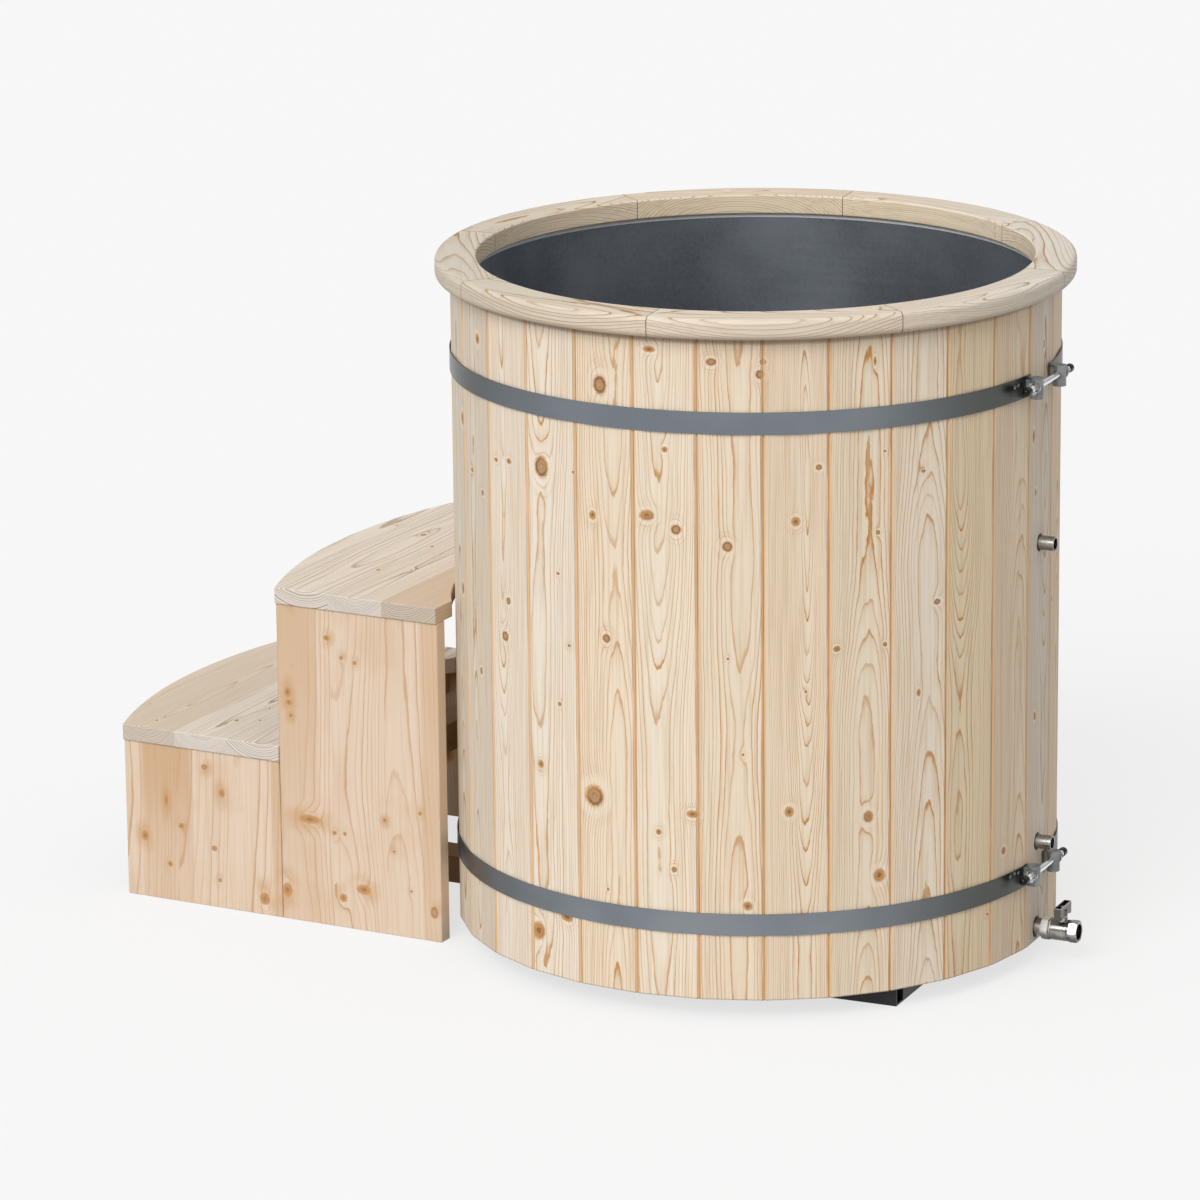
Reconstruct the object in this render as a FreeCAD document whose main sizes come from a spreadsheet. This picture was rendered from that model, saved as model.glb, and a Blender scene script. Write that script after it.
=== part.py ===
"""Cold plunge tub: a stave barrel with a steel liner, hoops and a drain valve, and loose steps.

Millimetres. The origin is on the floor under the tub's axis, +Z is up and +X points along the drain.
The steps stand on the -X side, a few degrees round from the drain.
"""
import FreeCAD, Part
import os
import re
import Sketcher

SIZES = (
    # Base frame of square tube and the timber that carries the liner floor
    ("base_height", 30, "side of the square tube"),
    ("tube_wall", 3, "wall of the square tube"),
    ("bearer_spread", 566, "over the outer faces of the two long bearers"),
    ("bearer_inset", 9, "from the stave faces to the ends of the bearers"),
    ("beam_count", 3, "cross beams with a joist on each"),
    ("beam_pitch", 220, "from one cross beam to the next"),
    ("joist_height", 45, "joist, floor to top"),
    ("joist_width", 45, "joist, across"),
    ("joist_clearance", 8, "from a joist's end to the staves"),
    # Staves
    ("stave_count", 30, "boards in the barrel"),
    ("stave_face", 449, "from the axis to a stave's flat outer face"),
    ("stave_thickness", 28, "board thickness"),
    ("stave_length", 979, "board length"),
    ("stave_bevel", 2.5, "bevel along the outer edges"),
    ("stave_gap", 0.3, "open joint between two staves"),
    ("tongue_length", 6, "tongue, out of the board's edge"),
    ("tongue_thickness", 7, "tongue, across"),
    ("tongue_clearance", 0.4, "groove beyond the tongue"),
    # Liner
    ("liner_wall", 1.5, "sheet thickness"),
    ("liner_clearance", 0.5, "between the liner and the staves"),
    ("flange_inset", 9, "from the stave faces to the flange's edge"),
    ("floor_clearance", 0.1, "between the floor plate and the shell"),
    # Rim
    ("rim_count", 8, "segments"),
    ("rim_overhang", 23.5, "rim beyond the stave faces"),
    ("rim_lip", 7.5, "rim inside the liner"),
    ("rim_thickness", 30, "rim, top to bottom"),
    ("rim_round", 8, "rounding of the outer edges"),
    ("rim_inner_round", 3, "rounding of the inner edges"),
    ("rim_gap", 0.5, "open joint between two segments"),
    ("rim_turn", 3.7, "degrees from the drain to the first joint"),
    # Hoops and their tensioners
    ("hoop_height", 32, "band height"),
    ("hoop_thickness", 1.5, "band thickness"),
    ("hoop_clearance", 0.1, "between the band and the stave corners"),
    ("hoop_tail", 7, "band beyond the middle of a lug"),
    ("upper_hoop_drop", 122, "from the stave tops to the middle of the upper band"),
    ("lower_hoop_level", 115, "from the stave bottoms to the middle of the lower band"),
    ("upper_lug_gap", 90, "between the middles of the upper lugs"),
    ("lower_lug_gap", 78, "between the middles of the lower lugs"),
    ("lower_rod_lift", 4, "lower rod above the middle of its band"),
    ("tension_turn", 1.4, "degrees from the drain to the middle of the tensioners"),
    ("rod_offset", 11, "from the band to the middle of a rod"),
    ("rod_radius", 5, "threaded rod"),
    ("rod_clearance", 0.2, "lug and washer holes beyond the rod"),
    ("thread_clearance", 0.05, "nut beyond the rod"),
    ("thread_spare", 13, "open thread between a nut and its cap"),
    ("lug_radius", 9.7, "cast lug"),
    ("lug_height", 31, "cast lug, top to bottom"),
    ("lug_drop", 2, "middle of a lug below the rod"),
    ("lug_flat", 8.5, "from a lug's middle to the face that takes the washer"),
    ("lug_foot_width", 15, "foot that joins a lug to the band"),
    ("lug_foot_height", 25, "foot, top to bottom"),
    ("washer_radius", 9.5, "washer"),
    ("washer_thickness", 2, "washer"),
    ("nut_across", 17, "nut, across its flats"),
    ("nut_height", 8, "nut"),
    ("cap_radius", 6.6, "cap on the rod's end"),
    ("cap_length", 9, "cap, without its round end"),
    # Water connections
    ("stub_radius", 10.65, "half-inch pipe"),
    ("stub_wall", 2, "pipe wall"),
    ("stub_reach", 24, "stub beyond the stave"),
    ("upper_stub_level", 610, "from the stave bottoms to the upper stub"),
    ("lower_stub_level", 153, "from the stave bottoms to the lower stub"),
    ("pipe_hole_clearance", 2.7, "stave hole beyond the pipe"),
    ("weld_gap", 0.05, "between a stub and the liner"),
    # Drain pipe
    ("drain_radius", 13.45, "three-quarter-inch pipe"),
    ("drain_wall", 2.3, "pipe wall"),
    ("drain_level", 20, "from the stave bottoms to the drain pipe"),
    ("drain_inset", 118, "from the liner wall to the drain hole"),
    # Ball valve
    ("valve_standoff", 11, "from the stave to the valve"),
    ("valve_hex", 30, "across the flats of the valve's ends"),
    ("inlet_length", 15, "inlet hexagon"),
    ("socket_depth", 12, "drain pipe inside the valve"),
    ("socket_clearance", 0.05, "socket beyond the pipe"),
    ("barrel_radius", 16.2, "round middle of the body"),
    ("neck_radius", 14.8, "grooves beside the round middle"),
    ("neck_length", 2, "each groove"),
    ("barrel_length", 19.6, "round middle"),
    ("body_ring", 4.4, "round end of the body, beyond the second groove"),
    ("ball_radius", 11, "ball"),
    ("ball_bore", 7.5, "way through the ball"),
    ("ball_clearance", 0.05, "seats beyond the ball"),
    ("seat_back", 9, "from the ball's middle to the back of a seat"),
    ("seat_depth", 4, "seat ring"),
    ("seat_radius", 11.8, "bore that holds the seats"),
    ("seat_clearance", 0.05, "seats inside their bore"),
    ("spigot_radius", 13.6, "screwed part of the end piece"),
    ("spigot_length", 4, "screwed part of the end piece"),
    ("outlet_length", 13, "outlet hexagon"),
    ("outlet_bore", 12.1, "outlet thread, inside"),
    ("outlet_depth", 12, "outlet thread"),
    ("stem_radius", 5, "stem"),
    ("stem_clearance", 0.05, "holes beyond the stem"),
    ("tang_width", 5, "stem's flat end in the ball"),
    ("tang_depth", 2, "stem's flat end in the ball"),
    ("boss_radius", 8, "boss round the stem"),
    ("boss_top", 20, "from the pipe's axis to the top of the boss"),
    ("gland_across", 14, "gland nut, across its flats"),
    ("gland_height", 3, "gland nut"),
    ("handle_gap", 0.3, "between the gland nut and the handle"),
    ("handle_length", 46, "handle, tip to tip"),
    ("handle_width", 11, "handle, across"),
    ("handle_hub", 8, "hub height"),
    ("handle_hub_radius", 7.5, "hub"),
    ("handle_rise", 8, "walls above the hub"),
    ("handle_drop", 2.5, "tips below the hub"),
    ("handle_waist", 9, "half the plain middle of the underside"),
    ("handle_wall", 1.2, "wall round the hollow top"),
    ("stem_seat_radius", 4, "stem inside the handle"),
    ("stem_thread_radius", 2, "stem inside the handle nut"),
    ("handle_nut_across", 7, "handle nut, across its flats"),
    ("handle_nut_height", 5, "handle nut"),
    # Loose steps
    ("step_turn", 3.73, "degrees that the steps stand round from the drain's line"),
    ("step_width", 600, "tread width"),
    ("step_run", 277, "side of a tread, front to back"),
    ("lower_step_height", 273, "floor to the top of the lower tread"),
    ("upper_step_height", 522, "floor to the top of the upper tread"),
    ("tread_thickness", 25, "tread board"),
    ("tread_overhang", 3, "tread beyond the side boards"),
    ("tread_flat", 51, "straight part beside the hollow back"),
    ("nose_radius", 850, "bowed front"),
    ("tub_clearance", 4.8, "between the hollow back and the staves"),
    ("side_thickness", 25, "side board"),
    ("edge_round", 1.5, "eased edges of treads and sides"),
    ("rail_thickness", 22, "tread rail, front to back"),
    ("rail_height", 40, "tread rail, top to bottom"),
    ("rail_setback", 22, "from a side board's edge to a rail"),
    ("stretcher_side", 45, "stretcher across the back"),
    ("stretcher_top", 286, "floor to the top of the stretcher"),
    ("stretcher_gap", 12, "between the stretcher and the staves"),
    ("runner_width", 60, "floor runner, across"),
    ("runner_height", 43, "floor runner, top to bottom"),
    ("runner_end", 15, "from the runner's end to the staves"),
    ("dowel_radius", 5, "dowel"),
    ("dowel_clearance", 0.05, "dowel hole beyond the dowel"),
    ("dowel_in_tread", 15, "dowel inside the tread"),
    ("dowel_in_side", 25, "dowel inside the side board"),
    ("dowel_inset", 60, "from a side board's edge to a dowel"),
)

NAMES = {alias for alias, number, note in SIZES}
Z_AXIS = FreeCAD.Vector(0, 0, 1)

doc = FreeCAD.newDocument("plunge_tub")
sheet = doc.addObject("Spreadsheet::Sheet", "Sizes")
for row, (alias, number, note) in enumerate(SIZES, start=1):
    sheet.set(f"A{row}", alias)
    sheet.set(f"B{row}", str(number))
    sheet.setAlias(f"B{row}", alias)
    sheet.set(f"C{row}", note)
doc.recompute()

subparts = []


def formula(text):
    """An expression with every size read from the sheet."""
    return re.sub(r"[a-z]\w*", lambda word: f"Sizes.{word[0]}" if word[0] in NAMES else word[0], text)


def value(text):
    """What a formula gives at the present sizes."""
    return float(sheet.evalExpression(formula(text)))


def bind(item, formulas):
    """Tie properties of an object to the sheet."""
    for name, text in formulas.items():
        item.setExpression(name, formula(text))
    return item


def subpart(item, label):
    """Name a finished piece, which is written to a file of that name."""
    item.Label = label
    subparts.append(item)
    return item


def turned(item, degrees, height="0"):
    """Turn a piece about the tub's axis and lift it."""
    place = f"placement(vector(0; 0; {height}); rotation(vector(0; 0; 1); {degrees}))"
    return bind(item, {"Placement": place})


def box(corner, extent):
    """A block from its lowest corner."""
    names = ("Placement.Base.x", "Placement.Base.y", "Placement.Base.z", "Length", "Width", "Height")
    return bind(doc.addObject("Part::Box", "block"), dict(zip(names, corner + extent)))


def along(item, axis, start):
    """Lay a primitive that was made along Z on another axis, from its start point."""
    tilt = {"x": (FreeCAD.Vector(1, 1, 1), 120), "y": (FreeCAD.Vector(1, 0, 0), -90), "z": (Z_AXIS, 0)}
    item.Placement = FreeCAD.Placement(FreeCAD.Vector(), FreeCAD.Rotation(*tilt[axis]))
    return bind(item, dict(zip(("Placement.Base.x", "Placement.Base.y", "Placement.Base.z"), start)))


def cylinder(axis, start, radius, length):
    """A round bar along an axis."""
    item = bind(doc.addObject("Part::Cylinder", "bar"), {"Radius": radius, "Height": length})
    return along(item, axis, start)


def hexagon(axis, start, across, length):
    """A six-sided bar along an axis, its size over the flats."""
    item = doc.addObject("Part::Prism", "hexagon")
    item.Polygon = 6
    bind(item, {"Circumradius": f"{across} / 2 / cos(30)", "Height": length})
    return along(item, axis, start)


def ball(centre, radius):
    """A full sphere."""
    item = bind(doc.addObject("Part::Sphere", "sphere"), {"Radius": radius})
    return along(item, "z", centre)


def fuse(*pieces):
    """One solid from several."""
    item = doc.addObject("Part::MultiFuse", "union")
    item.Shapes = list(pieces)
    return item


def cut(base, *tools):
    """A piece with others taken away."""
    item = doc.addObject("Part::Cut", "cut")
    item.Base = base
    item.Tool = tools[0] if len(tools) == 1 else fuse(*tools)
    return item


def common(first, second):
    """What two pieces share."""
    item = doc.addObject("Part::Common", "common")
    item.Base = first
    item.Tool = second
    return item


def mirrored(source, normal):
    """A piece mirrored at the origin."""
    item = doc.addObject("Part::Mirroring", "mirrored")
    item.Source = source
    item.Normal = FreeCAD.Vector(*normal)
    return item


def group(*pieces):
    """Separate solids that share one node."""
    item = doc.addObject("Part::Compound", "group")
    item.Links = list(pieces)
    return item


def eased(source):
    """A board with all its edges softened."""
    doc.recompute()
    item = doc.addObject("Part::Fillet", "eased")
    item.Base = source
    radius = value("edge_round")
    item.Edges = [(number + 1, radius, radius) for number in range(len(source.Shape.Edges))]
    return item


def outline(body, role, corners):
    """A closed outline of straight lines on one of a body's own planes, each corner a pair of formulas."""
    sketch = body.newObject("Sketcher::SketchObject", "outline")
    plane = next(item for item in body.Origin.OriginFeatures if item.Role == role)
    sketch.AttachmentSupport = [(plane, "")]
    sketch.MapMode = "FlatFace"
    points = [FreeCAD.Vector(value(across), value(up), 0) for across, up in corners]
    for number, point in enumerate(points):
        following = points[(number + 1) % len(points)]
        sketch.addGeometry(Part.LineSegment(point, following), False)
    for number, corner in enumerate(corners):
        following = (number + 1) % len(corners)
        sketch.addConstraint(Sketcher.Constraint("Coincident", number, 2, following, 1))
        for direction, text, axis in zip(("DistanceX", "DistanceY"), corner, (-2, -1)):
            if text == "0":
                sketch.addConstraint(Sketcher.Constraint("PointOnObject", number, 1, axis))
                continue
            index = sketch.addConstraint(Sketcher.Constraint(direction, -1, 1, number, 1, value(text)))
            sketch.setExpression(f"Constraints[{index}]", formula(text))
    return sketch


def new_body(name):
    """An empty body."""
    return doc.addObject("PartDesign::Body", name)


def padded(body, sketch, length, midplane=False):
    """A straight pad from an outline."""
    pad = body.newObject("PartDesign::Pad", "pad")
    pad.Profile = sketch
    pad.Midplane = midplane
    return bind(pad, {"Length": length})


def revolved(body, corners, axis, degrees="360"):
    """A body of revolution from an outline on the XZ plane, spread evenly to both sides of that plane."""
    sketch = outline(body, "XZ_Plane", corners)
    turn = body.newObject("PartDesign::Revolution", "revolution")
    turn.Profile = sketch
    turn.ReferenceAxis = (sketch, [axis])
    turn.Midplane = True
    return bind(turn, {"Angle": degrees})


def rounded(body, feature, rounding, edge_radius):
    """Round the circular edges of a feature that have a given radius."""
    doc.recompute()
    fillet = body.newObject("PartDesign::Fillet", "rounding")
    names = []
    for number, edge in enumerate(feature.Shape.Edges, start=1):
        if abs(getattr(edge.Curve, "Radius", 0) - edge_radius) < 0.01:
            names.append(f"Edge{number}")
    fillet.Base = (feature, names)
    return bind(fillet, {"Radius": rounding})


# Levels and radii that several pieces share
STAVE_TOP = "(base_height + stave_length)"
STAVE_ANGLE = "(180 / stave_count)"
STAVE_INNER = "(stave_face - stave_thickness)"
STAVE_HALF_FACE = f"(stave_face * tan({STAVE_ANGLE}) - stave_gap / 2 / cos({STAVE_ANGLE}) - stave_bevel)"
STAVE_CORNER = f"sqrt(stave_face ^ 2 + {STAVE_HALF_FACE} ^ 2)"
LINER_OUTER = f"({STAVE_INNER} - liner_clearance)"
LINER_INNER = f"({LINER_OUTER} - liner_wall)"
FLOOR_LEVEL = "(base_height + joist_height)"
DRAIN_LEVEL = "(base_height + drain_level)"
DRAIN_BORE = "(drain_radius - drain_wall)"
DRAIN_X = f"({LINER_INNER} - drain_inset)"
STUB_BORE = "(stub_radius - stub_wall)"
HOOP_INNER = f"({STAVE_CORNER} + hoop_clearance)"
HOOP_OUTER = f"({HOOP_INNER} + hoop_thickness)"
ROD_X = f"({HOOP_OUTER} + rod_offset)"


# Base frame of square tube: two bearers from the back of the frame to the staves below the drain, open at their
# ends, and a third from the first cross beam to the staves on the other side
BEARER_REACH = "(stave_face - bearer_inset)"
FRAME_FRONT = f"sqrt({BEARER_REACH} ^ 2 - (bearer_spread / 2) ^ 2)"
FRAME_BACK = "((beam_count - 1) / 2 * beam_pitch + base_height / 2)"
FRAME_TAIL = f"sqrt({BEARER_REACH} ^ 2 - (base_height / 2) ^ 2)"


def square_tube(corner, length, across):
    """A square tube on the ground, from its lowest corner along X or, where it lies across the frame, along Y."""
    x, y = corner
    bore = "(base_height - 2 * tube_wall)"
    if across:
        outside = box((x, y, "0"), ("base_height", length, "base_height"))
        inside = box((f"{x} + tube_wall", y, "tube_wall"), (bore, length, bore))
    else:
        outside = box((x, y, "0"), (length, "base_height", "base_height"))
        inside = box((x, f"{y} + tube_wall", "tube_wall"), (length, bore, bore))
    return cut(outside, inside)


far_bearer = square_tube(
    (f"-{FRAME_BACK}", "bearer_spread / 2 - base_height"), f"{FRAME_BACK} + {FRAME_FRONT}", False
)
back_bearer = square_tube((f"-{FRAME_TAIL}", "-base_height / 2"), f"{FRAME_TAIL} - {FRAME_BACK}", False)
subpart(group(far_bearer, mirrored(far_bearer, (0, 1, 0)), back_bearer), "bearers")

# Cross beams welded between the bearers: one closes the frame under the drain, and the others carry a joist each
BEAM_SPAN = "(bearer_spread - 2 * base_height)"
beams = [square_tube((f"{FRAME_FRONT} - base_height", f"-{BEAM_SPAN} / 2"), BEAM_SPAN, True)]
joists = []
for number in range(int(value("beam_count"))):
    middle = f"(({number} - (beam_count - 1) / 2) * beam_pitch)"
    beams.append(square_tube((f"{middle} - base_height / 2", f"-{BEAM_SPAN} / 2"), BEAM_SPAN, True))
    reach = f"(sqrt({STAVE_INNER} ^ 2 - (abs({middle}) + joist_width / 2) ^ 2) - joist_clearance)"
    joists.append(
        box(
            (f"{middle} - joist_width / 2", f"-{reach}", "base_height"),
            ("joist_width", f"2 * {reach}", "joist_height"),
        )
    )
subpart(group(*beams), "cross_beams")
subpart(group(*joists), "floor_joists")

# Liner: a rolled shell with a flange over the stave tops, and a flat floor with the drain hole
shell = new_body("shell_body")
revolved(
    shell,
    (
        (LINER_INNER, FLOOR_LEVEL),
        (LINER_OUTER, FLOOR_LEVEL),
        (LINER_OUTER, STAVE_TOP),
        ("stave_face - flange_inset", STAVE_TOP),
        ("stave_face - flange_inset", f"{STAVE_TOP} + liner_wall"),
        (LINER_INNER, f"{STAVE_TOP} + liner_wall"),
    ),
    "V_Axis",
)
stub_levels = {level: f"(base_height + {level})" for level in ("upper_stub_level", "lower_stub_level")}
shell_holes = [cylinder("x", ("0", "0", level), STUB_BORE, LINER_OUTER + " + 1") for level in stub_levels.values()]
subpart(cut(shell, *shell_holes), "liner_shell")
floor_plate = cylinder("z", ("0", "0", FLOOR_LEVEL), f"{LINER_INNER} - floor_clearance", "liner_wall")
floor_hole = cylinder("z", (DRAIN_X, "0", FLOOR_LEVEL), DRAIN_BORE, "liner_wall")
subpart(cut(floor_plate, floor_hole), "liner_floor")


# Staves: boards with a tongue on one edge and a groove on the other, in sets of three
def on_edge(side, radius, outward):
    """A point on a stave's edge plane: a distance from the axis, and how far it stands out of the plane."""
    across = f"({radius}) * cos({STAVE_ANGLE}) - ({outward}) * sin({STAVE_ANGLE})"
    up = f"{side} * (({radius}) * sin({STAVE_ANGLE}) + ({outward}) * cos({STAVE_ANGLE}))"
    return across, up


def edge_height(across):
    """Half of a stave's width at a distance from the axis."""
    return f"({across} * tan({STAVE_ANGLE}) - stave_gap / 2 / cos({STAVE_ANGLE}))"


TONGUE_MIDDLE = "(stave_face - stave_thickness / 2)"
GROOVE_HALF = "(tongue_thickness / 2 + tongue_clearance)"
BEVEL_START = "(stave_face - stave_bevel)"
STAVE_OUTLINE = (
    (STAVE_INNER, f"-{edge_height(STAVE_INNER)}"),
    on_edge(-1, f"{TONGUE_MIDDLE} - {GROOVE_HALF}", "-stave_gap / 2"),
    on_edge(-1, f"{TONGUE_MIDDLE} - {GROOVE_HALF}", "-tongue_length - tongue_clearance"),
    on_edge(-1, f"{TONGUE_MIDDLE} + {GROOVE_HALF}", "-tongue_length - tongue_clearance"),
    on_edge(-1, f"{TONGUE_MIDDLE} + {GROOVE_HALF}", "-stave_gap / 2"),
    (BEVEL_START, f"-{edge_height(BEVEL_START)}"),
    ("stave_face", f"-{STAVE_HALF_FACE}"),
    ("stave_face", STAVE_HALF_FACE),
    (BEVEL_START, edge_height(BEVEL_START)),
    on_edge(1, f"{TONGUE_MIDDLE} + tongue_thickness / 2", "-stave_gap / 2"),
    on_edge(1, f"{TONGUE_MIDDLE} + tongue_thickness / 2", "tongue_length - stave_gap / 2"),
    on_edge(1, f"{TONGUE_MIDDLE} - tongue_thickness / 2", "tongue_length - stave_gap / 2"),
    on_edge(1, f"{TONGUE_MIDDLE} - tongue_thickness / 2", "-stave_gap / 2"),
    (STAVE_INNER, edge_height(STAVE_INNER)),
)
SET_SIZE = 3
stave_total = int(value("stave_count"))
pipe_holes = [
    cylinder("x", (STAVE_INNER + " / 2", "0", level), "stub_radius + pipe_hole_clearance", "stave_face")
    for level in stub_levels.values()
]
drain_hole_start = (STAVE_INNER + " / 2", "0", DRAIN_LEVEL)
pipe_holes.append(cylinder("x", drain_hole_start, "drain_radius + pipe_hole_clearance", "stave_face"))
for first in range(0, stave_total, SET_SIZE):
    in_set = min(SET_SIZE, stave_total - first)
    staves = new_body("stave_set")
    sketch = outline(staves, "XY_Plane", STAVE_OUTLINE)
    board = padded(staves, sketch, "stave_length")
    pattern = staves.newObject("PartDesign::PolarPattern", "round_the_tub")
    pattern.TransformMode = "Whole shape"
    pattern.Originals = [board]
    pattern.Axis = (sketch, ["N_Axis"])
    pattern.Mode = "Spacing"
    pattern.Occurrences = in_set
    bind(pattern, {"Offset": "360 / stave_count"})
    staves.Tip = pattern
    turned(staves, f"{first - 1} * 360 / stave_count", "base_height")
    finished = cut(staves, *pipe_holes) if first == 0 else staves
    subpart(finished, f"staves_{first + 1:02d}_{first + in_set:02d}")

# Rim: segments on the flange, with rounded edges
RIM_INNER = f"({LINER_INNER} - rim_lip)"
RIM_OUTER = "(stave_face + rim_overhang)"
RIM_BOTTOM = f"({STAVE_TOP} + liner_wall)"
RIM_TOP = f"({RIM_BOTTOM} + rim_thickness)"
for number in range(int(value("rim_count"))):
    segment = new_body("rim_body")
    arc = revolved(
        segment,
        (
            (RIM_INNER, RIM_BOTTOM),
            (RIM_OUTER, RIM_BOTTOM),
            (RIM_OUTER, RIM_TOP),
            (RIM_INNER, RIM_TOP),
        ),
        "V_Axis",
        f"360 / rim_count - rim_gap / {RIM_OUTER} * 180 / pi",
    )
    outer = rounded(segment, arc, "rim_round", value(RIM_OUTER))
    rounded(segment, outer, "rim_inner_round", value(RIM_INNER))
    turned(segment, f"rim_turn + ({number} + 0.5) * 360 / rim_count")
    subpart(segment, f"rim_segment_{number + 1}")


# Hoops and tensioners: a band, two cast lugs on its ends, and a rod drawn up by nuts
def tensioner(name, band_height, rod_lift, lug_gap):
    """One hoop at a height, its lugs, rod, nuts and washers. Gives the pieces shared with the other hoop."""
    height = f"({band_height} + {rod_lift})"
    lug_bottom = f"({height} - lug_drop - lug_height / 2)"
    half_gap = f"({lug_gap} / 2)"
    seat = f"({half_gap} + lug_flat)"
    nut_seat = f"({seat} + washer_thickness)"
    cap_seat = f"({nut_seat} + nut_height + thread_spare)"
    rod_hole = "rod_radius + rod_clearance"

    band = new_body("band_body")
    revolved(
        band,
        (
            (HOOP_INNER, f"{band_height} - hoop_height / 2"),
            (HOOP_OUTER, f"{band_height} - hoop_height / 2"),
            (HOOP_OUTER, f"{band_height} + hoop_height / 2"),
            (HOOP_INNER, f"{band_height} + hoop_height / 2"),
        ),
        "V_Axis",
        f"360 deg - 2 * atan(({half_gap} - hoop_tail) / {ROD_X})",
    )
    turned(band, "180 - tension_turn")
    subpart(band, f"{name}_hoop")

    foot_start = f"({HOOP_INNER} - hoop_tail)"
    round_lug = cylinder("z", (ROD_X, half_gap, lug_bottom), "lug_radius", "lug_height")
    flat = box(
        (f"{ROD_X} - lug_radius", f"{half_gap} - lug_radius", lug_bottom),
        ("2 * lug_radius", "lug_radius + lug_flat", "lug_height"),
    )
    foot = box(
        (foot_start, f"{half_gap} - lug_foot_width / 2", f"{height} - lug_drop - lug_foot_height / 2"),
        (f"{ROD_X} - {foot_start}", "lug_foot_width", "lug_foot_height"),
    )
    band_space = cylinder("z", ("0", "0", lug_bottom), HOOP_OUTER, "lug_height")
    hole = cylinder("y", (ROD_X, "0", height), rod_hole, f"2 * {seat}")
    lug = cut(fuse(common(round_lug, flat), foot), band_space, hole)
    subpart(turned(group(lug, mirrored(lug, (0, 1, 0))), "0 - tension_turn"), f"{name}_lugs")

    rod_half = f"({cap_seat} + cap_length)"
    rod = cylinder("y", (ROD_X, f"-{rod_half}", height), "rod_radius", f"2 * {rod_half}")
    subpart(turned(group(rod), "0 - tension_turn"), f"{name}_rod")

    washer_disc = cylinder("y", (ROD_X, seat, height), "washer_radius", "washer_thickness")
    washer = cut(washer_disc, cylinder("y", (ROD_X, seat, height), rod_hole, "washer_thickness"))
    nut_block = hexagon("y", (ROD_X, nut_seat, height), "nut_across", "nut_height")
    nut_hole = cylinder("y", (ROD_X, nut_seat, height), "rod_radius + thread_clearance", "nut_height")
    nut_corners = ball((ROD_X, f"{nut_seat} + nut_height / 2", height), "nut_across * 0.6")
    nut = cut(common(nut_block, nut_corners), nut_hole)
    subpart(turned(group(mirrored(washer, (0, 1, 0))), "0 - tension_turn"), f"{name}_washer")
    subpart(turned(group(mirrored(nut, (0, 1, 0))), "0 - tension_turn"), f"{name}_nut")

    cap_bar = cylinder("y", (ROD_X, cap_seat, height), "cap_radius", "cap_length")
    cap_round = ball((ROD_X, f"{cap_seat} + cap_length", height), "cap_radius")
    cap = cut(fuse(cap_bar, cap_round), cylinder("y", (ROD_X, "0", height), "rod_radius", rod_half))
    return washer, nut, group(cap, mirrored(cap, (0, 1, 0)))


upper_tensioner = tensioner("upper", f"({STAVE_TOP} - upper_hoop_drop)", "0", "upper_lug_gap")
lower_tensioner = tensioner("lower", "(base_height + lower_hoop_level)", "lower_rod_lift", "lower_lug_gap")
for label, *pieces in zip(("far_washers", "far_nuts", "rod_caps"), upper_tensioner, lower_tensioner):
    subpart(turned(group(*pieces), "0 - tension_turn"), label)

# Water connections: two stubs welded to the liner
for name, level in zip(("upper_stub", "lower_stub"), stub_levels.values()):
    start = (f"{LINER_OUTER} + weld_gap", "0", level)
    length = f"stave_face + stub_reach - {LINER_OUTER} - weld_gap"
    pipe = cut(cylinder("x", start, "stub_radius", length), cylinder("x", start, STUB_BORE, length))
    subpart(pipe, name)

# Drain pipe: down from the liner floor, round a bend and out through the stave
VALVE_X = "(stave_face + valve_standoff)"
PIPE_END = f"({VALVE_X} + socket_depth)"
bend = (DRAIN_X, "0", DRAIN_LEVEL)
drain_run = f"{PIPE_END} - {DRAIN_X}"
drain_drop = f"{FLOOR_LEVEL} - {DRAIN_LEVEL}"
drain_walls = [
    fuse(cylinder("x", bend, radius, drain_run), cylinder("z", bend, radius, drain_drop), ball(bend, radius))
    for radius in ("drain_radius", DRAIN_BORE)
]
subpart(cut(*drain_walls), "drain_pipe")

# Ball valve. Its bodies lie along the pipe's axis and are lifted to it.
INLET_END = f"({VALVE_X} + inlet_length)"
BARREL_START = f"({INLET_END} + neck_length)"
BARREL_END = f"({BARREL_START} + barrel_length)"
RING_START = f"({BARREL_END} + neck_length)"
BODY_END = f"({RING_START} + body_ring)"
BALL_X = f"({BODY_END} - spigot_length - seat_back)"
SEAT_FACE = f"({BALL_X} + seat_back)"
OUTLET_END = f"({BODY_END} + outlet_length)"
SOCKET_END = f"({PIPE_END} + socket_clearance)"
pipe_axis = ("0", DRAIN_LEVEL)

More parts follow.
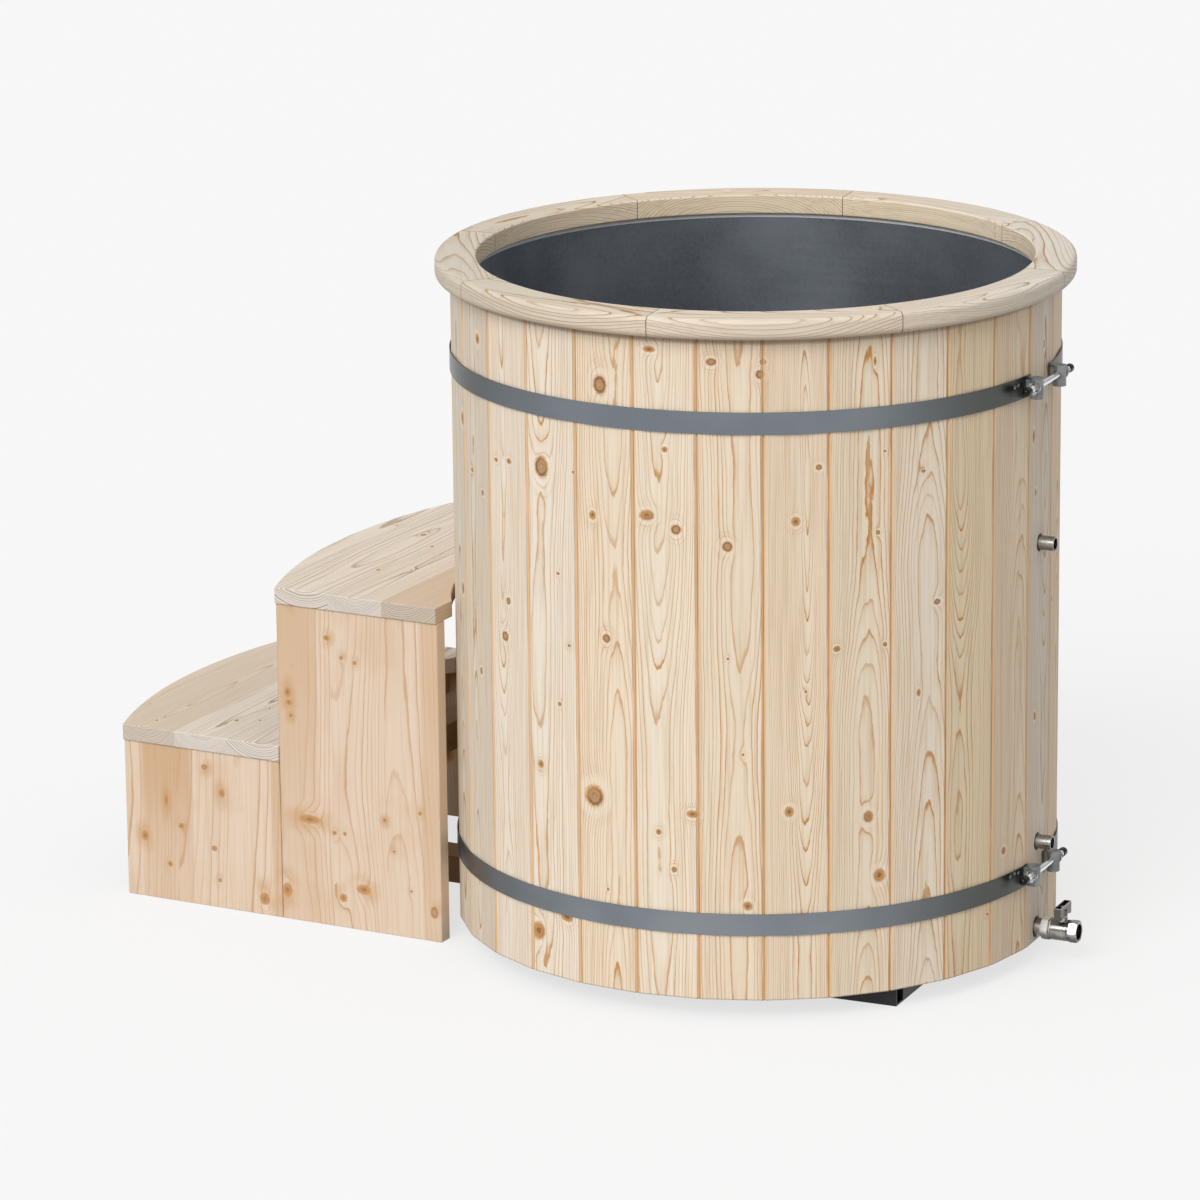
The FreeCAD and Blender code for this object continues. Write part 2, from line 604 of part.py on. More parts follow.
body_rounds = new_body("valve_rounds")
revolved(
    body_rounds,
    (
        (INLET_END, "0"),
        (BODY_END, "0"),
        (BODY_END, "barrel_radius"),
        (RING_START, "barrel_radius"),
        (RING_START, "neck_radius + 1"),
        (BARREL_END, "neck_radius + 1"),
        (BARREL_END, "barrel_radius"),
        (BARREL_START, "barrel_radius"),
        (BARREL_START, "neck_radius"),
        (INLET_END, "neck_radius"),
    ),
    "H_Axis",
)
turned(body_rounds, "0", DRAIN_LEVEL)
inlet_hex = common(
    hexagon("x", (VALVE_X, *pipe_axis), "valve_hex", "inlet_length"),
    ball((f"{VALVE_X} + inlet_length / 2", *pipe_axis), "valve_hex * 0.59"),
)
boss = cylinder("z", (BALL_X, "0", DRAIN_LEVEL), "boss_radius", "boss_top")
body_hollows = (
    cylinder("x", (VALVE_X, *pipe_axis), "drain_radius + socket_clearance", f"{SOCKET_END} - {VALVE_X}"),
    cylinder("x", (VALVE_X, *pipe_axis), "ball_bore", f"{SEAT_FACE} - {VALVE_X}"),
    cylinder("x", (f"{BALL_X} - seat_back", *pipe_axis), "seat_radius", "2 * seat_back"),
    cylinder("x", (SEAT_FACE, *pipe_axis), "spigot_radius + socket_clearance", "spigot_length"),
    cylinder("z", (BALL_X, "0", DRAIN_LEVEL), "stem_radius + stem_clearance", "boss_top"),
)
subpart(cut(fuse(body_rounds, inlet_hex, boss), *body_hollows), "valve_body")

end_hex = common(
    hexagon("x", (BODY_END, *pipe_axis), "valve_hex", "outlet_length"),
    ball((f"{BODY_END} + outlet_length / 2", *pipe_axis), "valve_hex * 0.59"),
)
end_solid = fuse(end_hex, cylinder("x", (SEAT_FACE, *pipe_axis), "spigot_radius", "spigot_length"))
outlet = cylinder("x", (f"{OUTLET_END} - outlet_depth", *pipe_axis), "outlet_bore", "outlet_depth")
end_bore = cylinder("x", (SEAT_FACE, *pipe_axis), "ball_bore", f"{OUTLET_END} - {SEAT_FACE}")
subpart(cut(end_solid, outlet, end_bore), "valve_end_piece")

BALL_CENTRE = (BALL_X, "0", DRAIN_LEVEL)
TANG_BOTTOM = f"({DRAIN_LEVEL} + ball_radius - tang_depth)"
ball_way = cylinder("y", (BALL_X, "-ball_radius", DRAIN_LEVEL), "ball_bore", "2 * ball_radius")
slot = box(
    (f"{BALL_X} - tang_width / 2", "-stem_radius", TANG_BOTTOM),
    ("tang_width", "2 * stem_radius", "tang_depth"),
)
subpart(cut(ball(BALL_CENTRE, "ball_radius"), ball_way, slot), "valve_ball")

seats = []
for back in (f"{BALL_X} - seat_back", f"{SEAT_FACE} - seat_depth"):
    ring = cylinder("x", (back, *pipe_axis), "seat_radius - seat_clearance", "seat_depth")
    way = cylinder("x", (back, *pipe_axis), "ball_bore", "seat_depth")
    seats.append(cut(ring, way, ball(BALL_CENTRE, "ball_radius + ball_clearance")))
subpart(group(*seats), "valve_seats")

GLAND_TOP = f"({DRAIN_LEVEL} + boss_top + gland_height)"
HUB_BOTTOM = f"({GLAND_TOP} + handle_gap)"
HUB_TOP = f"({HUB_BOTTOM} + handle_hub)"
NUT_TOP = f"({HUB_TOP} + handle_nut_height)"
gland_start = (BALL_X, "0", f"{DRAIN_LEVEL} + boss_top")
gland_block = hexagon("z", gland_start, "gland_across", "gland_height")
gland_hole = cylinder("z", gland_start, "stem_radius + stem_clearance", "gland_height")
subpart(cut(gland_block, gland_hole), "valve_gland_nut")

stem_bottom = f"({DRAIN_LEVEL} + ball_radius)"
tang_block = box(
    (f"{BALL_X} - tang_width / 2", "-stem_radius", TANG_BOTTOM),
    ("tang_width", "2 * stem_radius", "tang_depth"),
)
stem_bars = (
    common(tang_block, cylinder("z", (BALL_X, "0", TANG_BOTTOM), "stem_radius", "tang_depth")),
    cylinder("z", (BALL_X, "0", stem_bottom), "stem_radius", f"{HUB_BOTTOM} - {stem_bottom}"),
    cylinder("z", (BALL_X, "0", HUB_BOTTOM), "stem_seat_radius", f"{HUB_TOP} - {HUB_BOTTOM}"),
    cylinder("z", (BALL_X, "0", HUB_TOP), "stem_thread_radius", f"{NUT_TOP} - {HUB_TOP}"),
)
subpart(fuse(*stem_bars), "valve_stem")

# Handle: a bar with a hollow top over the stem, across the pipe when the valve is shut
wing = new_body("wing_body")
wing_half = "(handle_length / 2)"
wing_sketch = outline(
    wing,
    "YZ_Plane",
    (
        (f"-{wing_half}", f"{HUB_BOTTOM} - handle_drop"),
        ("-handle_waist", HUB_BOTTOM),
        ("handle_waist", HUB_BOTTOM),
        (wing_half, f"{HUB_BOTTOM} - handle_drop"),
        (wing_half, f"{HUB_TOP} + handle_rise"),
        (f"-{wing_half}", f"{HUB_TOP} + handle_rise"),
    ),
)
padded(wing, wing_sketch, "handle_width", midplane=True)
bind(wing, {"Placement.Base.x": BALL_X})
hub = cylinder("z", (BALL_X, "0", HUB_BOTTOM), "handle_hub_radius", "handle_hub")
hub_hole = cylinder("z", (BALL_X, "0", HUB_BOTTOM), "stem_seat_radius + stem_clearance", "handle_hub")
hollow = box(
    (f"{BALL_X} - handle_width / 2 + handle_wall", f"-{wing_half} + handle_wall", HUB_TOP),
    ("handle_width - 2 * handle_wall", "handle_length - 2 * handle_wall", "handle_rise"),
)
subpart(cut(fuse(wing, hub), hub_hole, hollow), "valve_handle")
nut_block = hexagon("z", (BALL_X, "0", HUB_TOP), "handle_nut_across", "handle_nut_height")
nut_hole = cylinder("z", (BALL_X, "0", HUB_TOP), "stem_thread_radius + stem_clearance", "handle_nut_height")
subpart(cut(nut_block, nut_hole), "valve_handle_nut")


# Loose steps, laid out along the tub's -X axis and then turned as one
HOLLOW_RADIUS = f"({STAVE_CORNER} + tub_clearance)"
TREAD_BACK = f"sqrt({HOLLOW_RADIUS} ^ 2 - (step_width / 2 - tread_flat) ^ 2)"
SIDE_OUTER = "(step_width / 2 - tread_overhang)"
SIDE_INNER = f"({SIDE_OUTER} - side_thickness)"
STEP_LIFTS = {"lower": "lower_step_height", "upper": "upper_step_height"}
STEP_SHIFTS = {"lower": "step_run", "upper": "0"}


def step_piece(item, label):
    """A finished piece of the steps, turned to where the steps stand."""
    return subpart(turned(item, "0 - step_turn"), label)


dowels = []
for name, top in STEP_LIFTS.items():
    shift = STEP_SHIFTS[name]
    back = f"(-{TREAD_BACK} - {shift})"
    front = f"({back} - step_run)"
    nose_centre = f"({front} + sqrt(nose_radius ^ 2 - (step_width / 2) ^ 2))"
    nose_tip = f"({nose_centre} - nose_radius)"
    underside = f"({top} - tread_thickness)"

    # Dowel holes and dowels stand half in the tread and half in the side boards
    holes = []
    for side in (-1, 1):
        for place in (f"({front} + dowel_inset)", f"({back} - dowel_inset)"):
            foot = (place, f"{side} * ({SIDE_OUTER} - side_thickness / 2)", f"{underside} - dowel_in_side")
            length = "dowel_in_side + dowel_in_tread"
            holes.append(cylinder("z", foot, "dowel_radius + dowel_clearance", length))
            dowels.append(cylinder("z", foot, "dowel_radius", length))

    blank = box((nose_tip, "-step_width / 2", underside), (f"{back} - {nose_tip}", "step_width", "tread_thickness"))
    bowed = common(blank, cylinder("z", (nose_centre, "0", underside), "nose_radius", "tread_thickness"))
    hollow = cylinder("z", (f"-{shift}", "0", underside), HOLLOW_RADIUS, "tread_thickness")
    step_piece(cut(eased(cut(bowed, hollow)), *holes), f"{name}_tread")

    for side, sign in (("near", -1), ("far", 1)):
        corner = (front, f"{sign} * {SIDE_OUTER} - {(sign + 1) // 2} * side_thickness", "0")
        board = box(corner, ("step_run", "side_thickness", underside))
        step_piece(cut(eased(board), *holes), f"{side}_{name}_side")

    front_rail = box(
        (f"{front} + rail_setback", f"-{SIDE_INNER}", f"{underside} - rail_height"),
        ("rail_thickness", f"2 * {SIDE_INNER}", "rail_height"),
    )
    step_piece(group(front_rail), f"{name}_front_rail")
step_piece(group(*dowels), "tread_dowels")

# Rail behind the lower tread, stretcher across the back, and the rails on the floor
LOWER_FRONT = f"(-{TREAD_BACK} - 2 * step_run)"
rear_rail = box(
    (
        f"-{TREAD_BACK} - step_run - rail_setback - rail_thickness",
        f"-{SIDE_INNER}",
        "lower_step_height - tread_thickness - rail_height",
    ),
    ("rail_thickness", f"2 * {SIDE_INNER}", "rail_height"),
)
step_piece(group(rear_rail), "lower_rear_rail")
stretcher = box(
    (f"-{STAVE_CORNER} - stretcher_gap - stretcher_side", f"-{SIDE_INNER}", "stretcher_top - stretcher_side"),
    ("stretcher_side", f"2 * {SIDE_INNER}", "stretcher_side"),
)
step_piece(group(stretcher), "rear_stretcher")
toe_start = f"({LOWER_FRONT} + rail_setback)"
toe_rail = box((toe_start, f"-{SIDE_INNER}", "0"), ("rail_thickness", f"2 * {SIDE_INNER}", "runner_height"))
step_piece(group(toe_rail), "toe_rail")
runner_start = f"({toe_start} + rail_thickness)"
runner = box(
    (runner_start, "-runner_width / 2", "0"),
    (f"-{STAVE_CORNER} - runner_end - {runner_start}", "runner_width", "runner_height"),
)
step_piece(group(runner), "floor_runner")

# Every object must be sound before anything is written
doc.recompute()
for item in doc.Objects:
    if {"Invalid", "Error"} & set(item.State):
        raise RuntimeError(f"{item.Label} failed: {item.State}")
os.makedirs("parts", exist_ok=True)
for item in subparts:
    if item.Shape.isNull() or not item.Shape.isValid() or not item.Shape.Solids:
        raise RuntimeError(f"{item.Label} has no sound shape")
for item in subparts:
    item.Shape.exportStep(f"parts/{item.Label}.step")
print(len(subparts), "sub-parts written")
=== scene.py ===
import math
import random

import bmesh
import bpy
from mathutils import Matrix, Vector


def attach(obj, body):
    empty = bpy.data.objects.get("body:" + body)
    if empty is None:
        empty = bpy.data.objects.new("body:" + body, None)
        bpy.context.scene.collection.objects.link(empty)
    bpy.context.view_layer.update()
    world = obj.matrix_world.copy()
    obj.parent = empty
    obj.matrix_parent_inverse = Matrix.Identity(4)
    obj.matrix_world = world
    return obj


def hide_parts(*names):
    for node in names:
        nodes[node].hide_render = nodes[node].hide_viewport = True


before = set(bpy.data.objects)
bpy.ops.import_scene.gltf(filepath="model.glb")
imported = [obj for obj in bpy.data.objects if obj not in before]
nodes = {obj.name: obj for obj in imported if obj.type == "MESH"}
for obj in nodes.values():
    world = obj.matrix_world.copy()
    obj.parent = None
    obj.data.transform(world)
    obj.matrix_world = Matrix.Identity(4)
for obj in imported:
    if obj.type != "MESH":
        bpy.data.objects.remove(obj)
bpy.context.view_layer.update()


# Base frame: three bearers and four cross beams of square steel tube, welded into a flat grid under the tub.
# The tube is painted near black, with duller scale in patches.
class Field:
    """A value that varies over a surface. Arithmetic on fields adds Math nodes to their material."""

    def __init__(self, tree, socket):
        self.tree = tree
        self.socket = socket

    def node(self, kind, settings=None, sockets=None, output=0):
        """Another node of the same material: its settings first, then the values or links of its sockets."""
        made = self.tree.nodes.new(kind)
        for name, setting in (settings or {}).items():
            setattr(made, name, setting)
        for name, entry in (sockets or {}).items():
            if isinstance(entry, Field):
                self.tree.links.new(entry.socket, made.inputs[name])
            else:
                made.inputs[name].default_value = entry
        return Field(self.tree, made.outputs[output])

    def math(self, operation, *others):
        return self.node("ShaderNodeMath", {"operation": operation}, dict(enumerate((self, *others))))

    def vector(self, operation, *others, output=0):
        sockets = dict(enumerate((self, *others)))
        return self.node("ShaderNodeVectorMath", {"operation": operation}, sockets, output)

    def __add__(self, other):
        return self.math("ADD", other)

    def __sub__(self, other):
        return self.math("SUBTRACT", other)

    def __rsub__(self, other):
        return self.node("ShaderNodeMath", {"operation": "SUBTRACT"}, {0: other, 1: self})

    def __mul__(self, other):
        return self.math("MULTIPLY", other)

    def __truediv__(self, other):
        return self.math("DIVIDE", other)

    def __pow__(self, other):
        return self.math("POWER", other)

    def __abs__(self):
        return self.math("ABSOLUTE")

    __radd__ = __add__
    __rmul__ = __mul__

    def step(self, low, high):
        """0 below low, 1 above high, and smooth between."""
        settings = {"interpolation_type": "SMOOTHSTEP"}
        return self.node("ShaderNodeMapRange", settings, {0: self, 1: low, 2: high})

    def band(self, low, high, soft):
        """1 between low and high, and 0 outside, with soft ends."""
        return self.step(low - soft, low + soft) * (1 - self.step(high - soft, high + soft))

    def bell(self):
        """1 at zero, and falling away smoothly on both sides."""
        return (self * self * -1.0).math("EXPONENT")

    def split(self):
        """The three parts of a vector or a colour."""
        made = self.node("ShaderNodeSeparateXYZ", None, {0: self})
        return [Field(self.tree, socket) for socket in made.socket.node.outputs]

    def join(self, second, third=0.0):
        """A vector from three values."""
        return self.node("ShaderNodeCombineXYZ", None, {0: self, 1: second, 2: third})

    def between(self, colour, other):
        """A colour that goes from one to another as this value goes from 0 to 1."""
        return self.node("ShaderNodeMix", {"data_type": "RGBA"}, {0: self, 6: colour, 7: other}, 2)

    def cloud(self, scale, detail=2.0, output=0):
        """Soft noise at this place, around a half."""
        sockets = {"Vector": self, "Scale": scale, "Detail": detail}
        return self.node("ShaderNodeTexNoise", None, sockets, output)

    def dice(self, output=0):
        """A random number that stays the same wherever this value does."""
        return self.node("ShaderNodeTexWhiteNoise", {"noise_dimensions": "1D"}, {"W": self}, output)

    def relief(self, distance, strength=1.0):
        """The normal of a surface with this height on it."""
        return self.node("ShaderNodeBump", None, {"Strength": strength, "Distance": distance, "Height": self})


def surface(name):
    """A new material, its shader, and the place on the object in metres."""
    made = bpy.data.materials.new(name)
    made.use_nodes = True
    tree = made.node_tree
    place = Field(tree, tree.nodes.new("ShaderNodeTexCoord").outputs["Object"])
    return made, tree.nodes["Principled BSDF"], place


def finish(shader, entries):
    """Set or link the shader's sockets."""
    for name, entry in entries.items():
        if isinstance(entry, Field):
            entry.tree.links.new(entry.socket, shader.inputs[name])
        else:
            shader.inputs[name].default_value = entry


def dress(made, *names):
    """Give CAD nodes a finished material."""
    for name in names:
        nodes[name].material_slots[0].material = made


TUBE_PAINT = (0.016, 0.016, 0.016, 1)
TUBE_SCALE = (0.042, 0.041, 0.040, 1)
tube_black, shader, place = surface("tube_black")
scale_patch = place.cloud(14.0, 4.0)
finish(
    shader,
    {
        "Base Color": scale_patch.step(0.35, 0.7).between(TUBE_PAINT, TUBE_SCALE),
        "Roughness": scale_patch * 0.3 + 0.32,
        "Metallic": 0.3,
        "Normal": place.cloud(160.0, 3.0).relief(0.0004, 0.4),
    },
)
dress(tube_black, "bearers", "cross_beams")

# Floor joists: square timbers across the beams, under the liner floor.
# Sawn spruce, with the year rings of a log laid out along each piece.
JOISTS_PER_METRE = 4.5
JOIST_PALE = (0.60, 0.46, 0.30, 1)
JOIST_LATE = (0.42, 0.27, 0.13, 1)
# How far the heart of a log lies under the face of its board, and how far it strays, in metres
HEART_DEPTH = 0.018
HEART_DEPTH_SPREAD = 0.045
HEART_SPREAD = 0.05
HEART_LEAN = 0.05
HEART_WANDER = 0.03
# How uneven the year rings are, over about a hand's breadth and over a few fibres, in metres
RIPPLE = 0.0022
TEAR = 0.0005


def spruce(along, across, depth, board, push=0.0, ring=0.0040, bend=1.0, rift=0.0):
    """Late wood and fibre of a sawn board, and three random numbers of its own.

    The first four fields place a point in its board. Push is how far knots push the year rings out, ring
    is about how wide a year is, bend is how far the log strays from straight, and rift is how far its
    heart lies to one side.
    """
    chance = board.dice(1).split()
    wander = (along * 1.7).join(board * 7.31).cloud(1.0, 1.0, 1).split()
    heart_across = (chance[0] - 0.5) * HEART_SPREAD + (wander[0] - 0.5) * (HEART_WANDER * bend) + rift
    lean = along * (chance[2] - 0.5) * HEART_LEAN + (wander[1] - 0.5) * HEART_SPREAD
    heart_depth = lean * bend + chance[1] * HEART_DEPTH_SPREAD + HEART_DEPTH
    ripple = ((along * 13.0).join(across * 70.0, board).cloud(1.0, 1.0) - 0.5) * (RIPPLE * bend)
    torn = ((along * 70.0).join(across * 300.0, board).cloud(1.0, 2.0) - 0.5) * (TEAR * bend)
    from_heart = ((across - heart_across) ** 2 + (depth + heart_depth) ** 2) ** 0.5
    radius = from_heart + ripple + torn + push
    year_width = chance[1] * (ring * 0.7) + ring * 0.6
    years = radius / year_width + (radius * 110.0).join(board).cloud(1.0, 0.0) * 1.6
    year = years.math("FRACT")
    strength = (years.math("FLOOR") * 0.37 + board).dice() * 0.75 + 0.35
    darkening = year.step(0.40, 0.9) * 0.20 + year.step(0.78, 0.93) * 0.80
    late = darkening * (1 - year.step(0.955, 1.0)) * strength
    fibre = (along * 6.0).join(across * 240.0, depth * 240.0 + board).cloud(1.0, 4.0)
    return late, fibre, chance


joist_wood, shader, place = surface("joist_wood")
east, north, up = place.split()
late, fibre, _ = spruce(north, east, up, (east * JOISTS_PER_METRE + 0.5).math("FLOOR"))
finish(
    shader,
    {
        "Base Color": (late * 0.8).between(JOIST_PALE, JOIST_LATE),
        "Roughness": fibre * 0.2 + 0.6,
        "Normal": (late * 0.4 + fibre).relief(0.0006, 0.5),
    },
)
dress(joist_wood, "floor_joists")

# Liner: a shell rolled from stainless sheet, with a flange folded over the staves, and a flat welded floor.
# Mill finish, dark blue-grey, with soft stains and faint rolling marks; a painted highlight runs along the
# folded edge at the top.
LINER_EDGE = 1.0036
LINER_DARK = (0.23, 0.256, 0.29, 1)
LINER_PALE = (0.42, 0.458, 0.505, 1)
LINER_PAINTED_HIGHLIGHT = (0.93, 0.93, 0.91, 1)
liner_steel, shader, place = surface("liner_steel")
east, north, up = place.split()
bearing = north.math("ARCTAN2", east)
stain = place.cloud(3.4, 4.0)
rolled = (bearing * 3.0).join(up * 150.0).cloud(1.0, 3.0)
speck = place.cloud(220.0, 2.0)
shade = (stain * 0.8 + speck * 0.2).step(0.34, 0.66).between(LINER_DARK, LINER_PALE)
# Painted highlight: a pale, less metallic band along the top of the folded edge.
painted_edge_highlight = up.step(LINER_EDGE, LINER_EDGE + 0.001)
finish(
    shader,
    {
        "Base Color": painted_edge_highlight.between(shade, LINER_PAINTED_HIGHLIGHT),
        "Metallic": 0.85 - painted_edge_highlight * 0.6,
        "Roughness": stain * 0.16 + rolled * 0.10 + 0.24,
        "Normal": (rolled + speck * 0.5).relief(0.0003, 0.25),
    },
)
dress(liner_steel, "liner_shell", "liner_floor")

# Staves: thirty planed spruce boards round the liner, tongued and grooved, with a bevel on each outer edge.
# Pale cream with thin amber year rings, brown knots, amber along the bevels, painted paler there as painted
# light against the shade in the grooves, and a line of painted shade under the rim and at the foot. Three
# boards make a set.
STAVE_FACE = 0.449
STAVE_TURN = math.radians(12.0)
STAVE_FOOT = 0.030
STAVE_TOP = 1.009
HALF_FACE = 0.0445
SEAM = 0.0464
CREAM = (0.885, 0.768, 0.615, 1)
AMBER = (0.56, 0.24, 0.035, 1)
FIBRE_TAN = (0.62, 0.44, 0.255, 1)
WASHED_GREY = (0.79, 0.70, 0.575, 1)
BEVEL_AMBER_AND_LIGHT = (0.78, 0.48, 0.225, 1)
SEAM_BROWN = (0.20, 0.095, 0.04, 1)
PAINTED_SHADE_BROWN = (0.20, 0.12, 0.07, 1)

# Knots on the sets that face the drain side: across from the middle of the set, height, half width and
# half height, in mm
STAVE_KNOTS = {
    19: (
        (103, 954, 6, 7), (37, 822, 8, 9), (114, 727, 4, 4), (76, 753, 4, 3), (99, 454, 4, 5),
        (20, 560, 7, 8),
    ),
    22: (
        (88, 930, 10, 13), (-19, 795, 12, 15), (74, 738, 5, 6), (-124, 786, 4, 3), (-92, 790, 5, 4),
        (42, 797, 2, 2), (11, 642, 3, 2), (-98, 580, 5, 5), (-107, 525, 7, 7), (95, 558, 6, 6),
        (31, 538, 3, 2), (11, 447, 3, 3), (-27, 349, 5, 5), (73, 319, 14, 15), (-35, 93, 11, 12),
        (94, 181, 2, 2), (21, 125, 10, 6),
    ),
    25: (
        (-116, 989, 8, 4), (-121, 747, 10, 7), (-78, 729, 7, 7), (-94, 845, 4, 4), (-26, 975, 7, 5),
        (43, 958, 6, 6), (47, 976, 4, 4), (126, 821, 4, 4), (93, 743, 6, 6), (-4, 707, 7, 7),
        (-56, 309, 8, 5), (-4, 542, 2, 2), (17, 400, 2, 2), (83, 314, 6, 7), (23, 173, 6, 6),
        (-84, 223, 4, 4), (-107, 278, 4, 4), (107, 492, 2, 2),
    ),
    28: (
        (-58, 837, 2, 2), (-68, 719, 3, 3), (-73, 969, 2, 6), (-130, 553, 5, 4), (-57, 553, 3, 3),
        (-82, 298, 7, 8), (-65, 208, 8, 9), (133, 111, 3, 2), (-1, 473, 3, 5), (30, 604, 5, 4),
        (6, 800, 3, 2),
    ),
    1: (
        (-109, 198, 5, 5), (-30, 806, 4, 9), (-20, 720, 3, 5), (10, 935, 2, 6), (60, 540, 4, 5),
        (-16, 380, 4, 6),
    ),
}
# Knots on the other sets: how many a board has, and the ranges they are drawn from, in mm
BOARD_KNOTS = 4
BOARD_PITCH = 94
KNOT_ACROSS = (-36, 36)
KNOT_HEIGHTS = (60, 1000)
KNOT_HALF_WIDTHS = (2, 3, 4, 6, 8)
KNOT_HALF_HEIGHTS = (3, 4, 6, 9)
# How far a board may stand off from the common cream, and which boards do on the drain side
WOOD_TONES = {
    "pale": (1.0, 1.02, 1.055, 1),
    "cream": (1.0, 1.0, 1.0, 1),
    "warm": (0.98, 0.955, 0.92, 1),
    "straw": (0.95, 0.91, 0.80, 1),
    "tan": (0.93, 0.885, 0.82, 1),
    "grey": (0.86, 0.885, 0.91, 1),
}
OTHER_TONES = ("cream", "warm", "tan", "straw")
STAVE_TONES = {
    19: ("tan", "grey", "grey"),
    22: ("pale", "pale", "warm"),
    25: ("cream", "warm", "warm"),
    28: ("warm", "cream", "straw"),
    1: ("tan", "grey", "tan"),
}
# How strong the year rings are, and about how wide a year is, where a set stands off from the others
COMMON_FIGURE = (1.0, 0.0029)
STAVE_FIGURES = {28: (0.9, 0.0024), 1: (0.9, 0.0024)}
# How steeply the year rings swell round a knot, and the colours in and round one
SWELL_SCALE = 0.010
KNOT_RESIN = (0.60, 0.34, 0.14, 1)
KNOT_HALO = (0.91, 0.82, 0.69, 1)
KNOT_RINGS = (0.56, 0.28, 0.08, 1)
KNOT_COLLAR = (0.60, 0.32, 0.115, 1)
DARK_KNOT_EDGE = (0.26, 0.125, 0.050, 1)
DARK_KNOT_HEART = (0.56, 0.345, 0.175, 1)
AMBER_KNOT_HEART = (0.24, 0.105, 0.04, 1)
AMBER_KNOT_EDGE = (0.60, 0.325, 0.125, 1)


def knot_fields(point, knots):
    """Distance from the nearest knot, where 1 is its edge, the same drawn out along the grain, and the push
    on the year rings.

    Each knot is a place and two half sizes in mm. The rings part over a longer stretch than the knot itself.
    """
    nearest = drawn_out = swell = None
    for across, height, half_width, half_height in knots:
        offset = point.vector("SUBTRACT", (across / 1000, height / 1000, 0))
        stretches = (
            (half_width, half_height),
            (half_width + 1, half_height * 1.4 + 1),
            (half_width * 2.2 + 5, half_height * 4.5 + 10),
        )
        spans = []
        for wide, high in stretches:
            scaled = offset.vector("MULTIPLY", (1000 / wide, 1000 / high, 0))
            spans.append(scaled.vector("LENGTH", output=1))
        peak = math.sqrt(SWELL_SCALE * 0.75 * half_width / 1000)
        lift = spans[2].math("MULTIPLY_ADD", -peak, peak)
        nearest = spans[0] if nearest is None else nearest.math("MINIMUM", spans[0])
        drawn_out = spans[1] if drawn_out is None else drawn_out.math("MINIMUM", spans[1])
        swell = lift if swell is None else swell.math("MAXIMUM", lift)
    return nearest, drawn_out, swell.math("MAXIMUM", 0.0) ** 2 / SWELL_SCALE


def knotted(colour, knot, drawn_out, place, amber_from=0.4, halo=0.35, flush=0.15, strength=1.0):
    """Colour with knots. Some are dark round the edge, and others amber with a dark heart.

    Halo is how pale and ringed the wood close round a knot is, flush how far resin has stained it, and
    strength how far the knots stand out.
    """
    kind = place.cloud(11.0, 0.0).step(amber_from, amber_from + 0.2)
    ragged = knot + (place.cloud(260.0, 2.0) - 0.5) * 0.4
    drawn_out = drawn_out + (place.cloud(45.0, 1.0) - 0.5) * 0.5
    stained = (1 - drawn_out.step(0.9, 3.4)) * place.cloud(16.0, 2.0).step(0.40, 0.60)
    colour = (stained * flush).between(colour, KNOT_RESIN)
    colour = (ragged.band(1.2, 2.1, 0.4) * halo).between(colour, KNOT_HALO)
    round_it = (drawn_out * 10.0).math("SINE").step(0.4, 0.95) * drawn_out.band(1.05, 2.0, 0.2)
    round_it = round_it * place.cloud(7.0, 0.0).step(0.35, 0.65)
    colour = (round_it * (halo + 0.15)).between(colour, KNOT_RINGS)
    collar = (1 - ragged.step(0.95, 1.35)) * (kind * 0.2 + 0.65)
    colour = collar.between(colour, KNOT_COLLAR)
    growth = (ragged * 15.0).math("SINE") * 0.5 + 0.5
    dark = growth * 0.4 + (1 - ragged.step(0.35, 0.75)) * 0.6
    dark = dark.between(DARK_KNOT_EDGE, DARK_KNOT_HEART)
    amber = ragged.step(0.2, 0.65) * 0.75 + growth * 0.25
    amber = amber.between(AMBER_KNOT_HEART, AMBER_KNOT_EDGE)
    return ((1 - ragged.step(0.9, 1.04)) * strength).between(colour, kind.between(dark, amber))


def planed(shader, colour, late, fibre):
    """The finish of planed spruce, a little smoother and higher on the late wood."""
    finish(
        shader,
        {
            "Base Color": colour,
            "Roughness": fibre * 0.18 + 0.50 - late * 0.08,
            "Specular IOR Level": 0.3,
            "Normal": (late * 0.15 + fibre * 0.5).relief(0.0004, 0.3),
        },
    )


